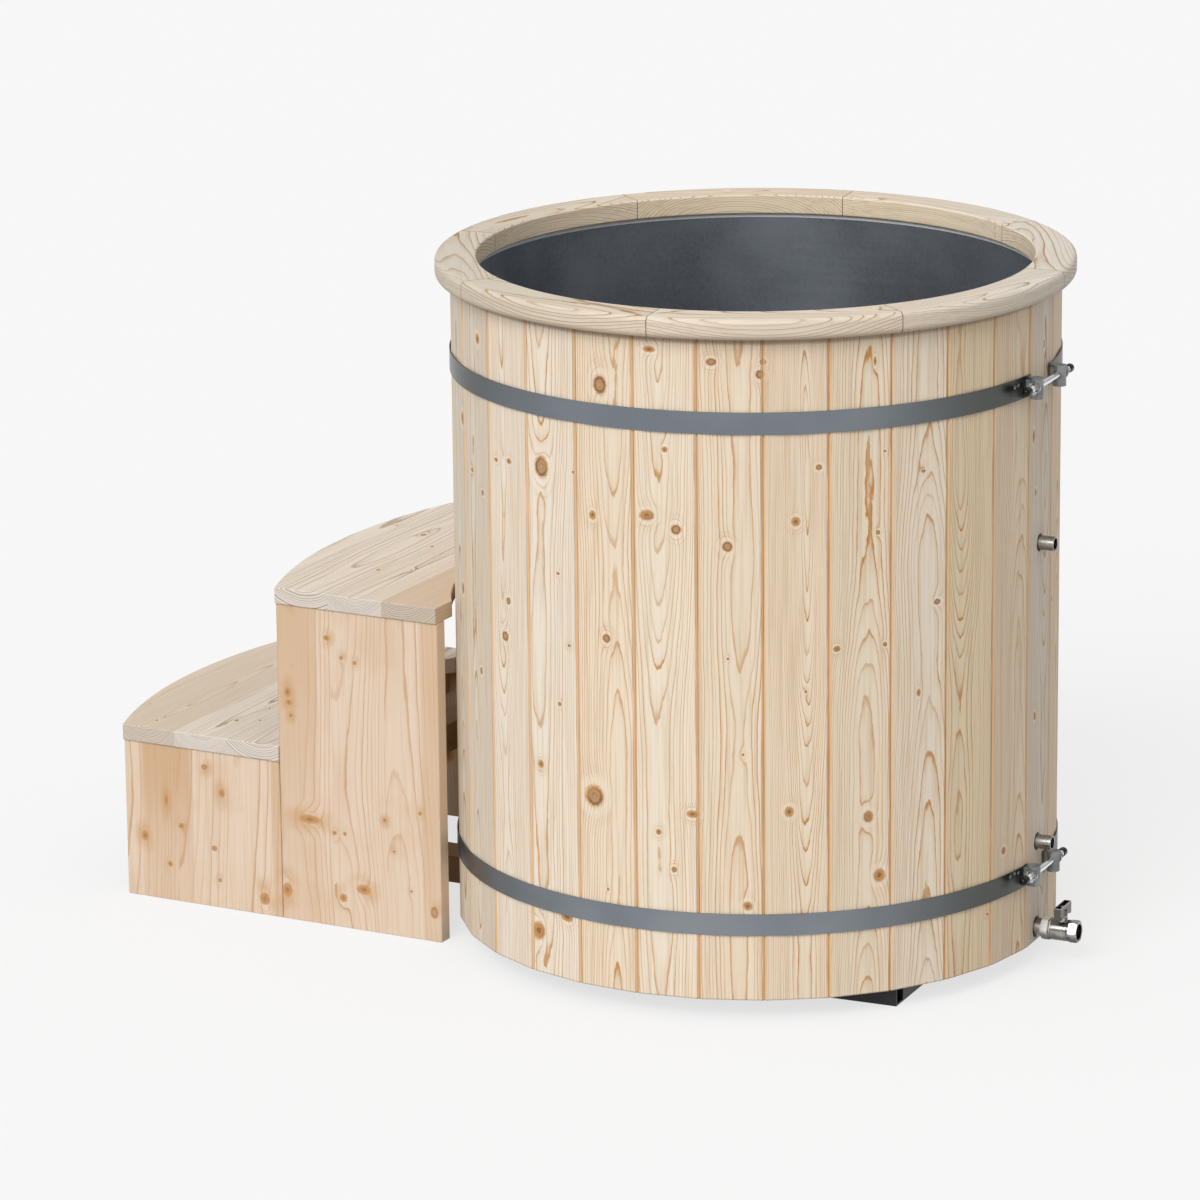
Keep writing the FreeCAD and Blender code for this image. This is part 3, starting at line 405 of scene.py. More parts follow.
for first in range(1, 31, 3):
    chooser = random.Random(first)
    knots = STAVE_KNOTS.get(first) or [
        (
            board * BOARD_PITCH + chooser.uniform(*KNOT_ACROSS),
            chooser.uniform(*KNOT_HEIGHTS),
            chooser.choice(KNOT_HALF_WIDTHS),
            chooser.choice(KNOT_HALF_HEIGHTS),
        )
        for board in (-1, 0, 1)
        for _ in range(BOARD_KNOTS)
    ]
    tones = STAVE_TONES.get(first) or [chooser.choice(OTHER_TONES) for _ in range(3)]
    stave_wood, shader, place = surface(f"stave_wood_{first:02d}")
    turn_back = (0, 0, (1 - first) * STAVE_TURN)
    faced = place.node("ShaderNodeMapping", None, {"Vector": place, "Rotation": turn_back})
    east, north, up = faced.split()
    bearing = north.math("ARCTAN2", east)
    number = (bearing / STAVE_TURN + 0.5).math("FLOOR")
    turned = bearing - number * STAVE_TURN
    reach = (east * east + north * north) ** 0.5
    across = reach * turned.math("SINE")
    depth = STAVE_FACE - reach * turned.math("COSINE")
    knot, drawn_out, push = knot_fields((bearing * STAVE_FACE).join(up), knots)
    figure, ring = STAVE_FIGURES.get(first, COMMON_FIGURE)
    late, fibre, _ = spruce(up, across, depth, number + first * 1.37, push, ring)
    wash = (up * 1.3).join(number, bearing * 3.0).cloud(2.0, 2.0)
    colour = (late * (wash * 0.4 + 1.1) * figure).between(CREAM, AMBER)
    colour = (fibre.step(0.42, 0.72) * 0.44).between(colour, FIBRE_TAN)
    colour = (wash.step(0.4, 0.75) * 0.30).between(colour, WASHED_GREY)
    tone = number.step(-0.6, -0.4).between(WOOD_TONES[tones[0]], WOOD_TONES[tones[1]])
    tone = number.step(0.4, 0.6).between(tone, WOOD_TONES[tones[2]])
    multiply = {"data_type": "RGBA", "blend_type": "MULTIPLY"}
    colour = place.node("ShaderNodeMix", multiply, {0: 1.0, 6: colour, 7: tone}, 2)
    colour = knotted(colour, knot, drawn_out, place)
    outer = 1 - depth.step(0.004, 0.006)
    # The bevels are amber, and are painted paler than that amber as painted light against the shade in the
    # grooves.
    bevel = abs(across).step(HALF_FACE - 0.0006, HALF_FACE + 0.0004) * outer
    colour = (bevel * (fibre * 0.3 + 0.6)).between(colour, BEVEL_AMBER_AND_LIGHT)
    broken = up.join(number * 0.7, first).cloud(7.0, 3.0)
    seam = abs(across).step(SEAM, SEAM + 0.0003) * broken.step(0.42, 0.62)
    edge = across.band(HALF_FACE - 0.0014, HALF_FACE, 0.0003) * broken.step(0.36, 0.55) * outer
    colour = (seam * 0.8 + edge * 0.55).between(colour, SEAM_BROWN)
    # Painted shade: a dark brown line under the overhang of the rim and along the foot of the staves.
    shade_under_rim = up.step(STAVE_TOP - 0.011, STAVE_TOP - 0.005)
    at_foot = 1 - up.step(STAVE_FOOT + 0.0008, STAVE_FOOT + 0.0018)
    colour = ((shade_under_rim + at_foot) * 0.55).between(colour, PAINTED_SHADE_BROWN)
    planed(shader, colour, late, fibre)
    dress(stave_wood, f"staves_{first:02d}_{first + 2:02d}")

# Rim: eight segments cut from straight planks and laid end to end on the flange, rounded on the outer edges.
# The grain runs straight along each plank, so it runs out as arcs at the ends; the joints are dark hairlines.
# The wood is paler and greyer on one side of the tub and darker and drabber on the other, with painted shade
# on the lower rounding and painted light on the inner face.
RIM_START = math.radians(3.7)
RIM_ARC = math.radians(45.0)
RIM_FOOT = 1.0105
RIM_LEVEL = 1.02
RIM_INNER = 0.4125
RIM_MIDDLE = 0.43
RIM_KNOTS_PER_METRE = 7.0
RIM_KNOT_SIZE = 0.05
SIDE_TONE_TURN = math.radians(70.7)
RIM_CREAM = (0.77, 0.675, 0.55, 1)
RIM_WASHED = (0.74, 0.675, 0.58, 1)
RIM_TAN = (0.69, 0.54, 0.38, 1)
RIM_GREY_SIDE = (0.68, 0.695, 0.65, 1)
RIM_DRAB = (0.48, 0.47, 0.40, 1)
RIM_PAINTED_SHADE = (0.40, 0.30, 0.205, 1)
RIM_PAINTED_LIGHT = (1.0, 0.83, 0.585, 1)
RIM_LATE = (0.40, 0.215, 0.09, 1)
RIM_FIBRE = (0.56, 0.42, 0.275, 1)
RIM_JOINT = (0.10, 0.06, 0.03, 1)
rim_wood, shader, place = surface("rim_wood")
east, north, up = place.split()
bearing = north.math("ARCTAN2", east) - RIM_START
number = (bearing / RIM_ARC).math("FLOOR")
turned = bearing - (number + 0.5) * RIM_ARC
reach = (east * east + north * north) ** 0.5
along = reach * turned.math("SINE")
across = reach * turned.math("COSINE") - RIM_MIDDLE
knot_spot = (along * RIM_KNOTS_PER_METRE).join(across * RIM_KNOTS_PER_METRE, number * 3.1 + 1.7)
nearest = place.node("ShaderNodeTexVoronoi", {"feature": "F1"}, {"Vector": knot_spot, "Scale": 1.0})
knot = nearest / RIM_KNOT_SIZE
push = (knot * 0.6).bell() * 0.006
late, fibre, chance = spruce(along, across, up - RIM_LEVEL, number * 1.61 + 40.3, push, 0.0034)
wash = (along * 2.0).join(across * 6.0, number).cloud(1.5, 2.0)
ground = (wash.step(0.35, 0.75) * 0.4).between(RIM_CREAM, RIM_WASHED)
ground = (chance[2] * 0.3).between(ground, RIM_TAN)
# Paler and greyer on one side of the tub, darker and drabber on the opposite side, by bearing.
side_tone = (bearing + SIDE_TONE_TURN).math("SINE")
ground = (side_tone.step(0.35, 1.0) * 0.45).between(ground, RIM_GREY_SIDE)
ground = ((side_tone * -1.0).step(0.35, 1.0) * 0.40).between(ground, RIM_DRAB)
# Painted shade: darker towards the lower rounding of the rim.
low = 1 - up.step(RIM_FOOT + 0.001, RIM_FOOT + 0.014)
ground = (low * 0.4).between(ground, RIM_PAINTED_SHADE)
# Painted light: the inner face of the rim is made paler and warmer.
painted_light_inside = 1 - reach.step(RIM_INNER - 0.0006, RIM_INNER + 0.0006)
ground = (painted_light_inside * 0.6).between(ground, RIM_PAINTED_LIGHT)
colour = (late * (wash * 0.4 + 1.0)).between(ground, RIM_LATE)
colour = (fibre.step(0.42, 0.76) * 0.40).between(colour, RIM_FIBRE)
colour = knotted(colour, knot, knot * 0.8, place)
joint = 1 - (RIM_ARC / 2 - abs(turned)).step(0.0008, 0.0020)
planed(shader, (joint * 0.85).between(colour, RIM_JOINT), late, fibre)
dress(rim_wood, *[f"rim_segment_{number}" for number in range(1, 9)])

# Hoops: two bands of steel strip drawn tight round the staves, their ends welded to the lugs.
# Satin blue-grey, with a painted reflection of dark surroundings darkening both flanks, faint drawing lines
# along the strip, soft cloudy patches, and a burnt mark beside each weld.
HOOP_FACE = 0.4528
HOOP_DARK = (0.20, 0.225, 0.25, 1)
HOOP_PALE = (0.27, 0.295, 0.32, 1)
HOOP_RIGHT_PAINTED_REFLECTION = (0.088, 0.094, 0.084, 1)
HOOP_LEFT_PAINTED_REFLECTION = (0.066, 0.070, 0.072, 1)
HOOP_BURNT = (0.035, 0.032, 0.035, 1)
# Each hoop's row of welds: its height in metres, and the bearing of each spot in degrees
WELDS = {"upper": (0.892, (-11.9, -10.7)), "lower": (0.155, (-12.1, -10.6, -9.2))}
hoop_steel, shader, place = surface("hoop_steel")
east, north, up = place.split()
bearing = north.math("ARCTAN2", east)
patch = place.cloud(6.0, 3.0)
drawn = (bearing * 6.0).join(up * 900.0).cloud(1.0, 2.0)
colour = patch.step(0.3, 0.75).between(HOOP_DARK, HOOP_PALE)
# Painted reflection: the hoop darkens on the flank by the lugs and on the opposite flank, as if mirroring
# dark surroundings.
colour = bearing.step(-1.0, -0.25).between(colour, HOOP_RIGHT_PAINTED_REFLECTION)
colour = (1 - bearing.step(-2.5, -1.7)).between(colour, HOOP_LEFT_PAINTED_REFLECTION)
for level, turns in WELDS.values():
    beside = ((bearing - math.radians(turns[0] - 1.2)) / 0.030).bell()
    burnt = beside * ((up - level + 0.007) / 0.007).bell()
    colour = (burnt * 0.7).between(colour, HOOP_BURNT)
finish(
    shader,
    {
        "Base Color": colour,
        "Metallic": 0.9 - bearing.band(0.0, 0.7, 0.15) * 0.9,
        "Specular IOR Level": 0.1,
        "Roughness": patch * 0.14 + drawn * 0.1 + 0.18,
        "Normal": drawn.relief(0.0002, 0.25),
    },
)
dress(hoop_steel, "upper_hoop", "lower_hoop")

# Weld spots: short rows of melted steel where a hoop's end is tacked to the lug.
# Low rounded beads of bare metal, half sunk in the band.
WELD_HALF_SIZE = (0.0016, 0.0036, 0.0027)
WELD_SINK = 0.0006
WELD_STAGGER = 0.0012
WELD_DARK = (0.16, 0.16, 0.16, 1)
WELD_PALE = (0.40, 0.40, 0.39, 1)
weld_steel, shader, place = surface("weld_steel")
ripple = place.cloud(900.0, 3.0)
finish(
    shader,
    {
        "Base Color": ripple.step(0.3, 0.7).between(WELD_DARK, WELD_PALE),
        "Metallic": 0.9,
        "Roughness": ripple * 0.2 + 0.2,
        "Normal": ripple.relief(0.0003, 0.4),
    },
)
for name, (level, turns) in WELDS.items():
    shape = bmesh.new()
    for number, turn in enumerate(turns):
        set_down = (
            Matrix.Rotation(math.radians(turn), 4, "Z")
            @ Matrix.Translation((HOOP_FACE - WELD_SINK, 0, level + WELD_STAGGER * (number % 2)))
            @ Matrix.Diagonal((*WELD_HALF_SIZE, 1))
        )
        bmesh.ops.create_icosphere(shape, subdivisions=3, radius=1.0, matrix=set_down)
    weld_mesh = bpy.data.meshes.new(f"{name}_welds")
    shape.to_mesh(weld_mesh)
    shape.free()
    weld_mesh.shade_smooth()
    weld_mesh.materials.append(weld_steel)
    welds = bpy.data.objects.new(f"{name}_welds", weld_mesh)
    bpy.context.scene.collection.objects.link(welds)
    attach(welds, "tub")

# Tensioner lugs: short upright castings on the ends of each hoop.
# Dull grey with a fine sand-cast skin, paler where the casting is proud.
LUG_DARK = (0.21, 0.216, 0.226, 1)
LUG_PALE = (0.33, 0.337, 0.348, 1)
lug_casting, shader, place = surface("lug_casting")
skin = place.cloud(700.0, 3.0)
patch = place.cloud(60.0, 3.0)
finish(
    shader,
    {
        "Base Color": patch.step(0.35, 0.7).between(LUG_DARK, LUG_PALE),
        "Metallic": 0.7,
        "Roughness": skin * 0.25 + 0.30,
        "Normal": (skin + patch).relief(0.0006, 0.5),
    },
)
dress(lug_casting, "upper_lugs", "lower_lugs")

# Rods, nuts and washers: plated steel that draws each hoop together. A rod is plain between its lugs, and a
# rolled thread winds round each end, from inside the lug to the cap. Bright, with painted shade on the
# underside of the rods.
TENSION_TURN = math.radians(1.4)
ROD_EAST = 0.4638
ROD_RADIUS = 0.0050
THREAD_ROOT = 0.0045
THREAD_PITCH = 0.0015
THREAD_STEPS = 24
THREAD_START = -0.003
ROD_REACH = 0.0405
MERGE_DISTANCE = 1e-6
ROD_PAINTED_SHADE = (0.22, 0.22, 0.215, 1)
ROD_WORN = (0.84, 0.84, 0.83, 1)
ROD_BRIGHT = (0.95, 0.95, 0.94, 1)
NUT_DARK = (0.40, 0.40, 0.395, 1)
NUT_PALE = (0.60, 0.60, 0.59, 1)
# Each rod's height, and half the gap between its lugs, in metres
RODS = {"upper": (0.887, 0.045), "lower": (0.149, 0.039)}
rod_plate, shader, place = surface("rod_plate")
wear = place.cloud(300.0, 2.0)
up = place.split()[2]
# Painted shade: the rod darkens below its axis.
height = up - RODS["lower"][0] - up.step(0.4, 0.6) * (RODS["upper"][0] - RODS["lower"][0])
plating = wear.step(0.3, 0.7).between(ROD_WORN, ROD_BRIGHT)
finish(
    shader,
    {
        "Base Color": height.step(-0.004, 0.0).between(ROD_PAINTED_SHADE, plating),
        "Metallic": 1.0,
        "Roughness": wear * 0.12 + 0.06,
    },
)
for name, (level, half_gap) in RODS.items():
    shape = bmesh.new()
    axis = Vector((ROD_EAST, 0, level))
    shoulder = half_gap + THREAD_START
    end = half_gap + ROD_REACH
    outline = [
        (0.0, -end),
        (THREAD_ROOT, -end),
        (THREAD_ROOT, -shoulder),
        (ROD_RADIUS, -shoulder),
        (ROD_RADIUS, shoulder),
        (THREAD_ROOT, shoulder),
        (THREAD_ROOT, end),
        (0.0, end),
    ]
    corners = [shape.verts.new(axis + Vector((reach, along, 0))) for reach, along in outline]
    line = [shape.edges.new(pair) for pair in zip(corners, corners[1:])]
    bmesh.ops.spin(
        shape,
        geom=corners + line,
        cent=axis,
        axis=(0, 1, 0),
        angle=math.tau,
        steps=THREAD_STEPS,
        use_merge=True,
    )
    bmesh.ops.remove_doubles(shape, verts=shape.verts, dist=MERGE_DISTANCE)
    turns = int((ROD_REACH - THREAD_START) / THREAD_PITCH)
    for start in (shoulder, -end):
        ridge = [
            shape.verts.new(axis + Vector((reach, start + along * THREAD_PITCH, 0)))
            for reach, along in ((THREAD_ROOT, 0.0), (ROD_RADIUS, 0.5), (THREAD_ROOT, 1.0))
        ]
        bmesh.ops.spin(
            shape,
            geom=ridge + [shape.edges.new(ridge[:2]), shape.edges.new(ridge[1:])],
            cent=axis,
            axis=(0, 1, 0),
            dvec=(0, THREAD_PITCH / THREAD_STEPS, 0),
            angle=math.tau * (turns - 1),
            steps=THREAD_STEPS * (turns - 1),
        )
    bmesh.ops.remove_doubles(shape, verts=shape.verts, dist=MERGE_DISTANCE)
    bmesh.ops.recalc_face_normals(shape, faces=shape.faces)
    swing = Matrix.Rotation(-TENSION_TURN, 3, "Z")
    bmesh.ops.rotate(shape, verts=shape.verts, cent=(0, 0, 0), matrix=swing)
    rod_mesh = bpy.data.meshes.new(f"{name}_threaded_rod")
    shape.to_mesh(rod_mesh)
    shape.free()
    rod_mesh.shade_smooth()
    rod_mesh.set_sharp_from_angle(angle=math.radians(40))
    rod_mesh.materials.append(rod_plate)
    threaded_rod = bpy.data.objects.new(f"{name}_threaded_rod", rod_mesh)
    bpy.context.scene.collection.objects.link(threaded_rod)
    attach(threaded_rod, "tub")
    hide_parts(f"{name}_rod")

nut_plate, shader, place = surface("nut_plate")
wear = place.cloud(180.0, 3.0)
finish(
    shader,
    {
        "Base Color": wear.step(0.3, 0.7).between(NUT_DARK, NUT_PALE),
        "Metallic": 1.0,
        "Roughness": wear * 0.16 + 0.06,
        "Normal": place.cloud(900.0, 2.0).relief(0.0002, 0.2),
    },
)
dress(nut_plate, "upper_nut", "lower_nut", "upper_washer", "lower_washer", "far_nuts", "far_washers")
dress(nut_plate, "valve_handle_nut")

# Rod caps: black plastic caps pushed over the ends of the rods.
# Half-gloss, with a faint moulded texture.
CAP_DARK = (0.004, 0.004, 0.005, 1)
CAP_PALE = (0.010, 0.010, 0.011, 1)
cap_black, shader, place = surface("cap_black")
mould = place.cloud(500.0, 2.0)
finish(
    shader,
    {
        "Base Color": mould.between(CAP_DARK, CAP_PALE),
        "Roughness": mould * 0.10 + 0.10,
        "Specular IOR Level": 0.22,
        "Normal": mould.relief(0.0002, 0.3),
    },
)
dress(cap_black, "rod_caps")

# Stubs and drain pipe: stainless pipe from the liner out through holes in one stave.
# Satin, with fine turning lines round the pipe and a slightly warm tint, a painted sheen just above the
# middle of each pipe and painted shade above and below it.
PIPE_LEVELS = (0.050, 0.183, 0.640)
PIPE_PAINTED_SHADE = (0.21, 0.203, 0.19, 1)
PIPE_PAINTED_SHEEN = (0.57, 0.56, 0.54, 1)
pipe_steel, shader, place = surface("pipe_steel")
east, north, up = place.split()
turning = (east * 2600.0).join(north * 20.0, up * 20.0).cloud(1.0, 2.0)
patch = place.cloud(70.0, 3.0)
height = up - PIPE_LEVELS[0]
for below, above in zip(PIPE_LEVELS, PIPE_LEVELS[1:]):
    halfway = (below + above) / 2
    height = height - up.step(halfway, halfway + 0.01) * (above - below)
# Painted sheen and shade: a bright band just above each pipe's axis, darker above and below it.
painted_sheen = ((height - 0.0035) / 0.006).bell() * 0.9 + patch * 0.1
finish(
    shader,
    {
        "Base Color": painted_sheen.between(PIPE_PAINTED_SHADE, PIPE_PAINTED_SHEEN),
        "Metallic": 1.0,
        "Roughness": turning * 0.14 + patch * 0.1 + 0.14,
        "Normal": turning.relief(0.0002, 0.3),
    },
)
dress(pipe_steel, "upper_stub", "lower_stub", "drain_pipe")

# Ball valve: a nickel-plated body screwed on the drain pipe, with an end piece, a ball on two seats, a stem
# and a bar handle. Warm grey nickel, with a painted highlight on the flats at the inlet and along the top of
# the handle, painted shade underneath, and dark joints; the seats inside are white plastic.
VALVE_LEVEL = 0.050
VALVE_JOINTS = (0.4725, 0.5010)
HANDLE_TOP = 0.0893
NICKEL_DARK = (0.36, 0.347, 0.325, 1)
NICKEL_PALE = (0.50, 0.485, 0.46, 1)
NICKEL_PAINTED_HIGHLIGHT = (0.82, 0.81, 0.79, 1)
NICKEL_SHADE_AND_JOINTS = (0.085, 0.077, 0.066, 1)
HANDLE_DARK = (0.10, 0.094, 0.086, 1)
HANDLE_PALE = (0.19, 0.18, 0.165, 1)
HANDLE_PAINTED_HIGHLIGHT = (0.72, 0.70, 0.66, 1)
SEAT_GREY = (0.78, 0.78, 0.76, 1)
SEAT_WHITE = (0.88, 0.88, 0.86, 1)
valve_nickel, shader, place = surface("valve_nickel")
east, _, up = place.split()
skin = place.cloud(420.0, 3.0)
patch = place.cloud(90.0, 3.0)
plating = patch.step(0.3, 0.75).between(NICKEL_DARK, NICKEL_PALE)
# Painted highlight: the inlet end is made bright and less metallic.
inlet_painted_highlight = 1 - east.step(VALVE_JOINTS[0] - 0.0024, VALVE_JOINTS[0] - 0.0016)
plating = (inlet_painted_highlight * 0.9).between(plating, NICKEL_PAINTED_HIGHLIGHT)
# Painted shade underneath, and dark rings at the joints.
shade_and_joints = 1 - (up + (patch - 0.5) * 0.008).step(VALVE_LEVEL - 0.009, VALVE_LEVEL + 0.001)
for joint in VALVE_JOINTS:
    shade_and_joints = shade_and_joints.math("MAXIMUM", ((east - joint) / 0.0012).bell())
finish(
    shader,
    {
        "Base Color": (shade_and_joints * 0.85).between(plating, NICKEL_SHADE_AND_JOINTS),
        "Metallic": 1 - inlet_painted_highlight * 0.6,
        "Roughness": skin * 0.12 + patch * 0.06 + 0.10,
        "Normal": skin.relief(0.0003, 0.3),
    },
)
dress(valve_nickel, "valve_body", "valve_end_piece", "valve_ball", "valve_stem", "valve_gland_nut")

handle_nickel, shader, place = surface("handle_nickel")
up = place.split()[2]
skin = place.cloud(420.0, 3.0)
# Painted highlight: a bright band along the top edge of the handle.
painted_top_highlight = up.step(HANDLE_TOP - 0.0012, HANDLE_TOP) * 0.8
dull = (skin * 0.6).between(HANDLE_DARK, HANDLE_PALE)
finish(
    shader,
    {
        "Base Color": painted_top_highlight.between(dull, HANDLE_PAINTED_HIGHLIGHT),
        "Metallic": 1.0,
        "Roughness": skin * 0.14 + 0.16,
        "Normal": skin.relief(0.0003, 0.35),
    },
)
dress(handle_nickel, "valve_handle")

seat_white, shader, place = surface("seat_white")
wax = place.cloud(120.0, 2.0)
finish(shader, {"Base Color": wax.between(SEAT_GREY, SEAT_WHITE), "Roughness": wax * 0.2 + 0.4})
dress(seat_white, "valve_seats")

# Steps, upright boards: sides glued up from planks, with the grain upright.
# Spruce, warmer and pinker than the staves, with finer year rings and a few planks that are nearly orange.
STEP_TURN = math.radians(3.73)
PLANK = 0.277 / 3
SIDE_BACK = -0.382
SIDE_CREAM = (0.795, 0.635, 0.49, 1)
SIDE_LATE = (0.53, 0.27, 0.10, 1)
SIDE_FIBRE = (0.60, 0.41, 0.25, 1)
SIDE_ORANGE = (0.63, 0.40, 0.225, 1)
SIDE_PALE = (0.84, 0.70, 0.56, 1)
SIDE_BLOTCH = (0.68, 0.46, 0.28, 1)
SIDE_GLUE = (0.30, 0.16, 0.07, 1)
SIDE_PAINTED_LIGHT = (0.97, 0.83, 0.66, 1)
# How far the heart of a log may lie to one side of its plank, in metres
SIDE_RIFT = 0.085
# Orange strips: from and to along the steps, soft edge, strength at the foot, strength added above, and the
# heights between which it is added, in metres
ORANGE_STRIPS = (
    (-0.660, -0.592, 0.004, 0.25, 0.4, (0.1, 0.5)),
    (-0.675, -0.660, 0.004, 0.6, 0.0, (0.1, 0.5)),
    (-0.412, -0.380, 0.004, 0.55, 0.0, (0.1, 0.5)),
    (-0.906, -0.818, 0.006, 0.3, 0.5, (0.05, 0.22)),
)
# Knots on the near side: along the steps, height, half width and half height, in mm; the far side has them
# moved by the two lengths after the table, in metres
SIDE_KNOTS = (
    (-572, 453, 5, 4), (-547, 425, 3, 3), (-524, 420, 3, 3), (-642, 360, 5, 7), (-640, 344, 5, 4),
    (-637, 324, 3, 3), (-608, 164, 17, 6), (-477, 180, 3, 3), (-416, 199, 3, 3), (-565, 148, 3, 3),
    (-547, 149, 3, 3), (-650, 46, 8, 10), (-552, 47, 6, 6), (-516, 65, 11, 7), (-433, 74, 2, 2),
    (-394, 46, 6, 9), (-462, 133, 2, 2), (-793, 222, 5, 4), (-763, 184, 5, 6), (-837, 122, 5, 4),
    (-779, 94, 5, 4), (-859, 58, 4, 4), (-863, 160, 3, 10), (-903, 98, 6, 7), (-691, 26, 8, 9),
    (-770, 44, 3, 3),
)
FAR_KNOTS_ALONG = 0.037
FAR_KNOTS_UP = 0.055


def step_place(place):
    """The place on the steps along their own axes."""
    squared = place.node("ShaderNodeMapping", None, {"Vector": place, "Rotation": (0, 0, STEP_TURN)})
    return squared.split()


side_wood, shader, place = surface("side_wood")
east, north, up = step_place(place)
plank = ((SIDE_BACK - east) / PLANK).math("FLOOR")
across = SIDE_BACK - east - (plank + 0.5) * PLANK
far = north.step(-0.01, 0.01)
knot_spot = (east + far * FAR_KNOTS_ALONG).join(up - far * FAR_KNOTS_UP)
knot, drawn_out, push = knot_fields(knot_spot, SIDE_KNOTS)
rift = (plank * 0.73 + far).dice() * SIDE_RIFT
board = plank * 1.73 + far * 11.0 + 70.9
late, fibre, chance = spruce(up, across, north, board, push * 0.35, 0.0023, 0.3, rift)
wash = (up * 1.5).join(across * 5.0, plank).cloud(1.5, 2.0)
colour = (late * (wash * 0.4 + 0.6)).between(SIDE_CREAM, SIDE_LATE)
colour = (fibre.step(0.42, 0.78) * 0.40).between(colour, SIDE_FIBRE)
orange = chance[0] * 0.12
for start, end, soft, at_foot, added, heights in ORANGE_STRIPS:
    orange = orange + east.band(start, end, soft) * (up.step(*heights) * added + at_foot)
colour = orange.between(colour, SIDE_ORANGE)
colour = (wash.step(0.45, 0.75) * 0.4).between(colour, SIDE_PALE)
colour = (place.cloud(10.0, 3.0).step(0.5, 0.72) * 0.35).between(colour, SIDE_BLOTCH)
colour = knotted(colour, knot, drawn_out, place, amber_from=0.25, halo=0.0, flush=0.6, strength=0.65)
glued = ((east - SIDE_BACK + 3 * PLANK) / 0.0011).bell()
colour = (glued * 0.6).between(colour, SIDE_GLUE)
# Painted light: the back end faces of the sides, towards the tub, are made paler.
painted_light_end = east.step(SIDE_BACK - 0.0008, SIDE_BACK - 0.0002)
planed(shader, (painted_light_end * 0.4).between(colour, SIDE_PAINTED_LIGHT), late, fibre)
dress(side_wood, "near_lower_side", "near_upper_side", "far_lower_side", "far_upper_side")

# Steps, treads: planks glued side by side, sawn to a bowed front and a hollow back.
# Greyer than the sides, with the grain across the steps and close year rings on the end grain.
TREAD_TOPS = (0.273, 0.522)
TREAD_END = 0.2985
TREAD_CREAM = (0.81, 0.715, 0.605, 1)
TREAD_LATE = (0.36, 0.24, 0.14, 1)
TREAD_FIBRE = (0.50, 0.385, 0.275, 1)
TREAD_GREY = (0.70, 0.63, 0.54, 1)
TREAD_ORANGE = (0.62, 0.47, 0.32, 1)
SAWN_GREY = (0.74, 0.67, 0.595, 1)
SAWN_ORANGE = (0.56, 0.47, 0.365, 1)
SAWN_LATE = (0.24, 0.175, 0.125, 1)
# Knots on the treads: along and across the steps, half length and half width, in mm
TREAD_KNOTS = (
    (-611, 71, 4, 6), (-564, 15, 3, 4), (-677, 104, 2, 3), (-569, -143, 3, 5), (-524, -122, 2, 3),
    (-956, -188, 2, 2), (-899, -260, 2, 4), (-788, -207, 3, 5), (-756, -191, 2, 4), (-776, -129, 2, 3),
)
tread_wood, shader, place = surface("tread_wood")
east, north, up = step_place(place)
plank = ((SIDE_BACK - east) / PLANK).math("FLOOR")
across = SIDE_BACK - east - (plank + 0.5) * PLANK
depth = up.step(0.30, 0.45) * (TREAD_TOPS[1] - TREAD_TOPS[0]) + TREAD_TOPS[0] - up
knot, drawn_out, push = knot_fields(east.join(north), TREAD_KNOTS)
late, fibre, _ = spruce(north, across, depth, plank * 2.11 + 120.4, push, 0.0034, 0.7)
wash = (north * 2.0).join(across * 5.0, plank).cloud(1.5, 2.0)
colour = (late * (wash * 0.4 + 0.9)).between(TREAD_CREAM, TREAD_LATE)
colour = (fibre.step(0.42, 0.78) * 0.44).between(colour, TREAD_FIBRE)
colour = (wash.step(0.4, 0.75) * 0.35).between(colour, TREAD_GREY)
orange = (1 - plank.step(0.4, 0.6)) * 0.75 + plank.step(4.4, 4.6) * 0.5
colour = orange.between(colour, TREAD_ORANGE)
end_grain = abs(north).step(TREAD_END - 0.0004, TREAD_END + 0.0004)
sawn = orange.between(SAWN_GREY, SAWN_ORANGE)
sawn = (late * 1.6).between(sawn, SAWN_LATE)
colour = knotted(colour, knot, drawn_out, place)
planed(shader, (end_grain * 0.9).between(colour, sawn), late, fibre)
dress(tread_wood, "lower_tread", "upper_tread")

# Steps, rails and dowels: sawn laths under the treads, a stretcher at the back, two rails on the floor, and
# the pegs. The same spruce, rougher, with painted shade making it darker, as the rails stand in shade inside
# the steps.
# Painted shade: these browns are darker than the spruce of the sides and treads.
RAIL_SHADED_BROWN = (0.46, 0.31, 0.18, 1)
RAIL_SHADED_LATE = (0.30, 0.165, 0.075, 1)
RAIL_SHADED_FIBRE = (0.38, 0.24, 0.135, 1)
shaded_rail_wood, shader, place = surface("shaded_rail_wood")
east, north, up = step_place(place)
late, fibre, _ = spruce(north, up * 1.3, east, (east * 9.0).math("FLOOR") + 160.2, 0.0, 0.0034)
colour = (late * 0.8).between(RAIL_SHADED_BROWN, RAIL_SHADED_LATE)
finish(
    shader,
    {
        "Base Color": (fibre.step(0.45, 0.85) * 0.25).between(colour, RAIL_SHADED_FIBRE),
        "Roughness": fibre * 0.2 + 0.58,
        "Specular IOR Level": 0.3,
        "Normal": (late * 0.5 + fibre).relief(0.0006, 0.4),
    },
)
dress(shaded_rail_wood, "lower_front_rail", "lower_rear_rail", "upper_front_rail", "rear_stretcher", "floor_runner")
dress(shaded_rail_wood, "toe_rail", "tread_dowels")

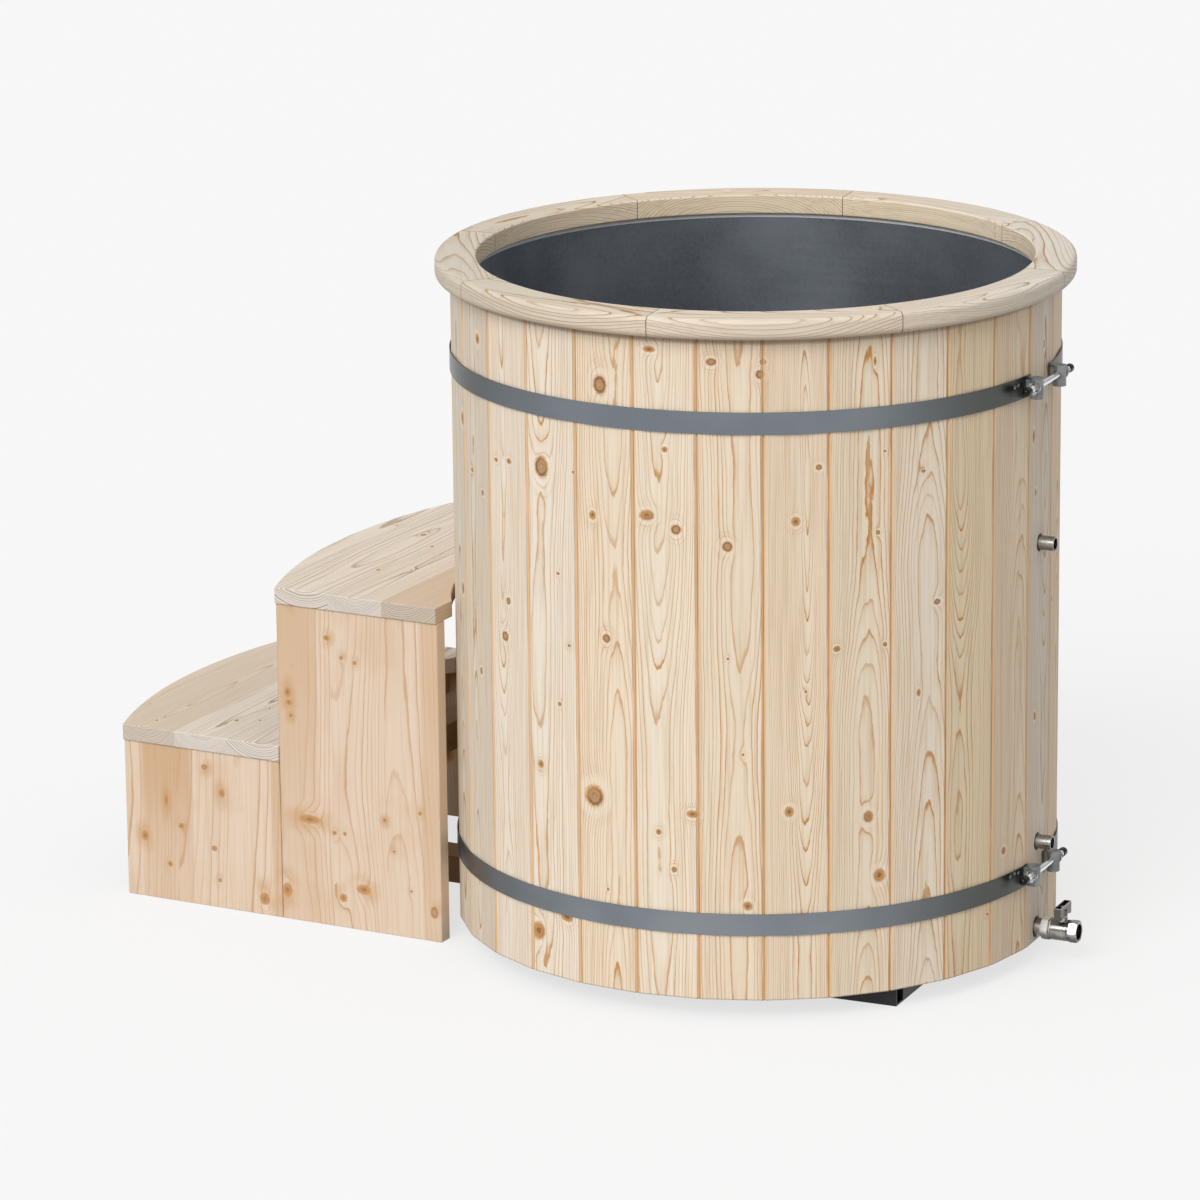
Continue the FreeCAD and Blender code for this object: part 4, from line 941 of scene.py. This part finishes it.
# Stage: a plain pale floor, soft light from the front left and above, and a long lens a little above the rim.
# The floor is even and nearly white where it is seen or mirrored, and keeps a faint shadow of the object.
FLOOR_HALF_SIZE = 40.0
FLOOR_GREY = (0.50, 0.50, 0.50, 1)
FLOOR_SHADOWED = (0.22, 0.22, 0.22, 1)
FLOOR_GLOW = (0.705, 0.705, 0.705, 1)
SKY_LOW = (0.46, 0.47, 0.49, 1)
SKY_HIGH = (1.0, 1.0, 1.0, 1)
SKY_STRENGTH = 0.74
LIGHT_HEADING = (0.0687, 0.785, -0.6157)
CAMERA_PLACE = (3.399, -8.125, 2.907)
CAMERA_HEADING = (-0.4103, 0.9120, 0.0)
PITCH = math.radians(15.234)
ROLL = math.radians(-0.581)
floor_mesh = bpy.data.meshes.new("studio_floor")
shape = bmesh.new()
bmesh.ops.create_grid(shape, x_segments=1, y_segments=1, size=FLOOR_HALF_SIZE)
shape.to_mesh(floor_mesh)
shape.free()
studio_floor = bpy.data.objects.new("studio_floor", floor_mesh)
bpy.context.scene.collection.objects.link(studio_floor)
floor_paint, shader, place = surface("floor_paint")
finish(shader, {"Base Color": FLOOR_GREY, "Roughness": 1.0, "Specular IOR Level": 0.0})
seen = place.node("ShaderNodeLightPath", output="Is Camera Ray")
for ray in ("Is Glossy Ray", "Is Transmission Ray"):
    seen = seen.math("MAXIMUM", place.node("ShaderNodeLightPath", output=ray))
shadowed = place.node("ShaderNodeBsdfDiffuse", None, {"Color": FLOOR_SHADOWED})
glow = place.node("ShaderNodeEmission", None, {"Color": FLOOR_GLOW, "Strength": 1.0})
pale = place.node("ShaderNodeAddShader", None, {0: shadowed, 1: glow})
plain = Field(floor_paint.node_tree, shader.outputs["BSDF"])
floor_look = place.node("ShaderNodeMixShader", None, {0: seen, 1: plain, 2: pale})
finish(floor_paint.node_tree.nodes["Material Output"], {"Surface": floor_look})
floor_mesh.materials.append(floor_paint)

world = bpy.data.worlds.new("studio")
bpy.context.scene.world = world
world.use_nodes = True
sky = Field(world.node_tree, world.node_tree.nodes.new("ShaderNodeTexCoord").outputs["Generated"])
daylight = sky.split()[2].step(0.05, 0.75).between(SKY_LOW, SKY_HIGH)
finish(world.node_tree.nodes["Background"], {"Color": daylight, "Strength": SKY_STRENGTH})

lamp = bpy.data.lights.new("key_light", "SUN")
lamp.energy = 1.88
lamp.angle = math.radians(40.0)
key_light = bpy.data.objects.new("key_light", lamp)
key_light.rotation_euler = Vector(LIGHT_HEADING).to_track_quat("-Z", "Y").to_euler()
bpy.context.scene.collection.objects.link(key_light)

heading = Vector(CAMERA_HEADING).normalized()
forward = heading * math.cos(PITCH) - Vector((0, 0, math.sin(PITCH)))
level = Vector((heading.y, -heading.x, 0.0))
upright = level.cross(forward)
right = level * math.cos(ROLL) + upright * math.sin(ROLL)
upward = upright * math.cos(ROLL) - level * math.sin(ROLL)
lens = bpy.data.cameras.new("camera")
lens.lens = 183.1
lens.sensor_width = 36.0
lens.clip_end = 100.0
camera = bpy.data.objects.new("camera", lens)
turn = Matrix((right, upward, -forward)).transposed().to_4x4()
camera.matrix_world = Matrix.Translation(CAMERA_PLACE) @ turn
bpy.context.scene.collection.objects.link(camera)
bpy.context.scene.camera = camera
bpy.context.scene.view_settings.view_transform = "Standard"
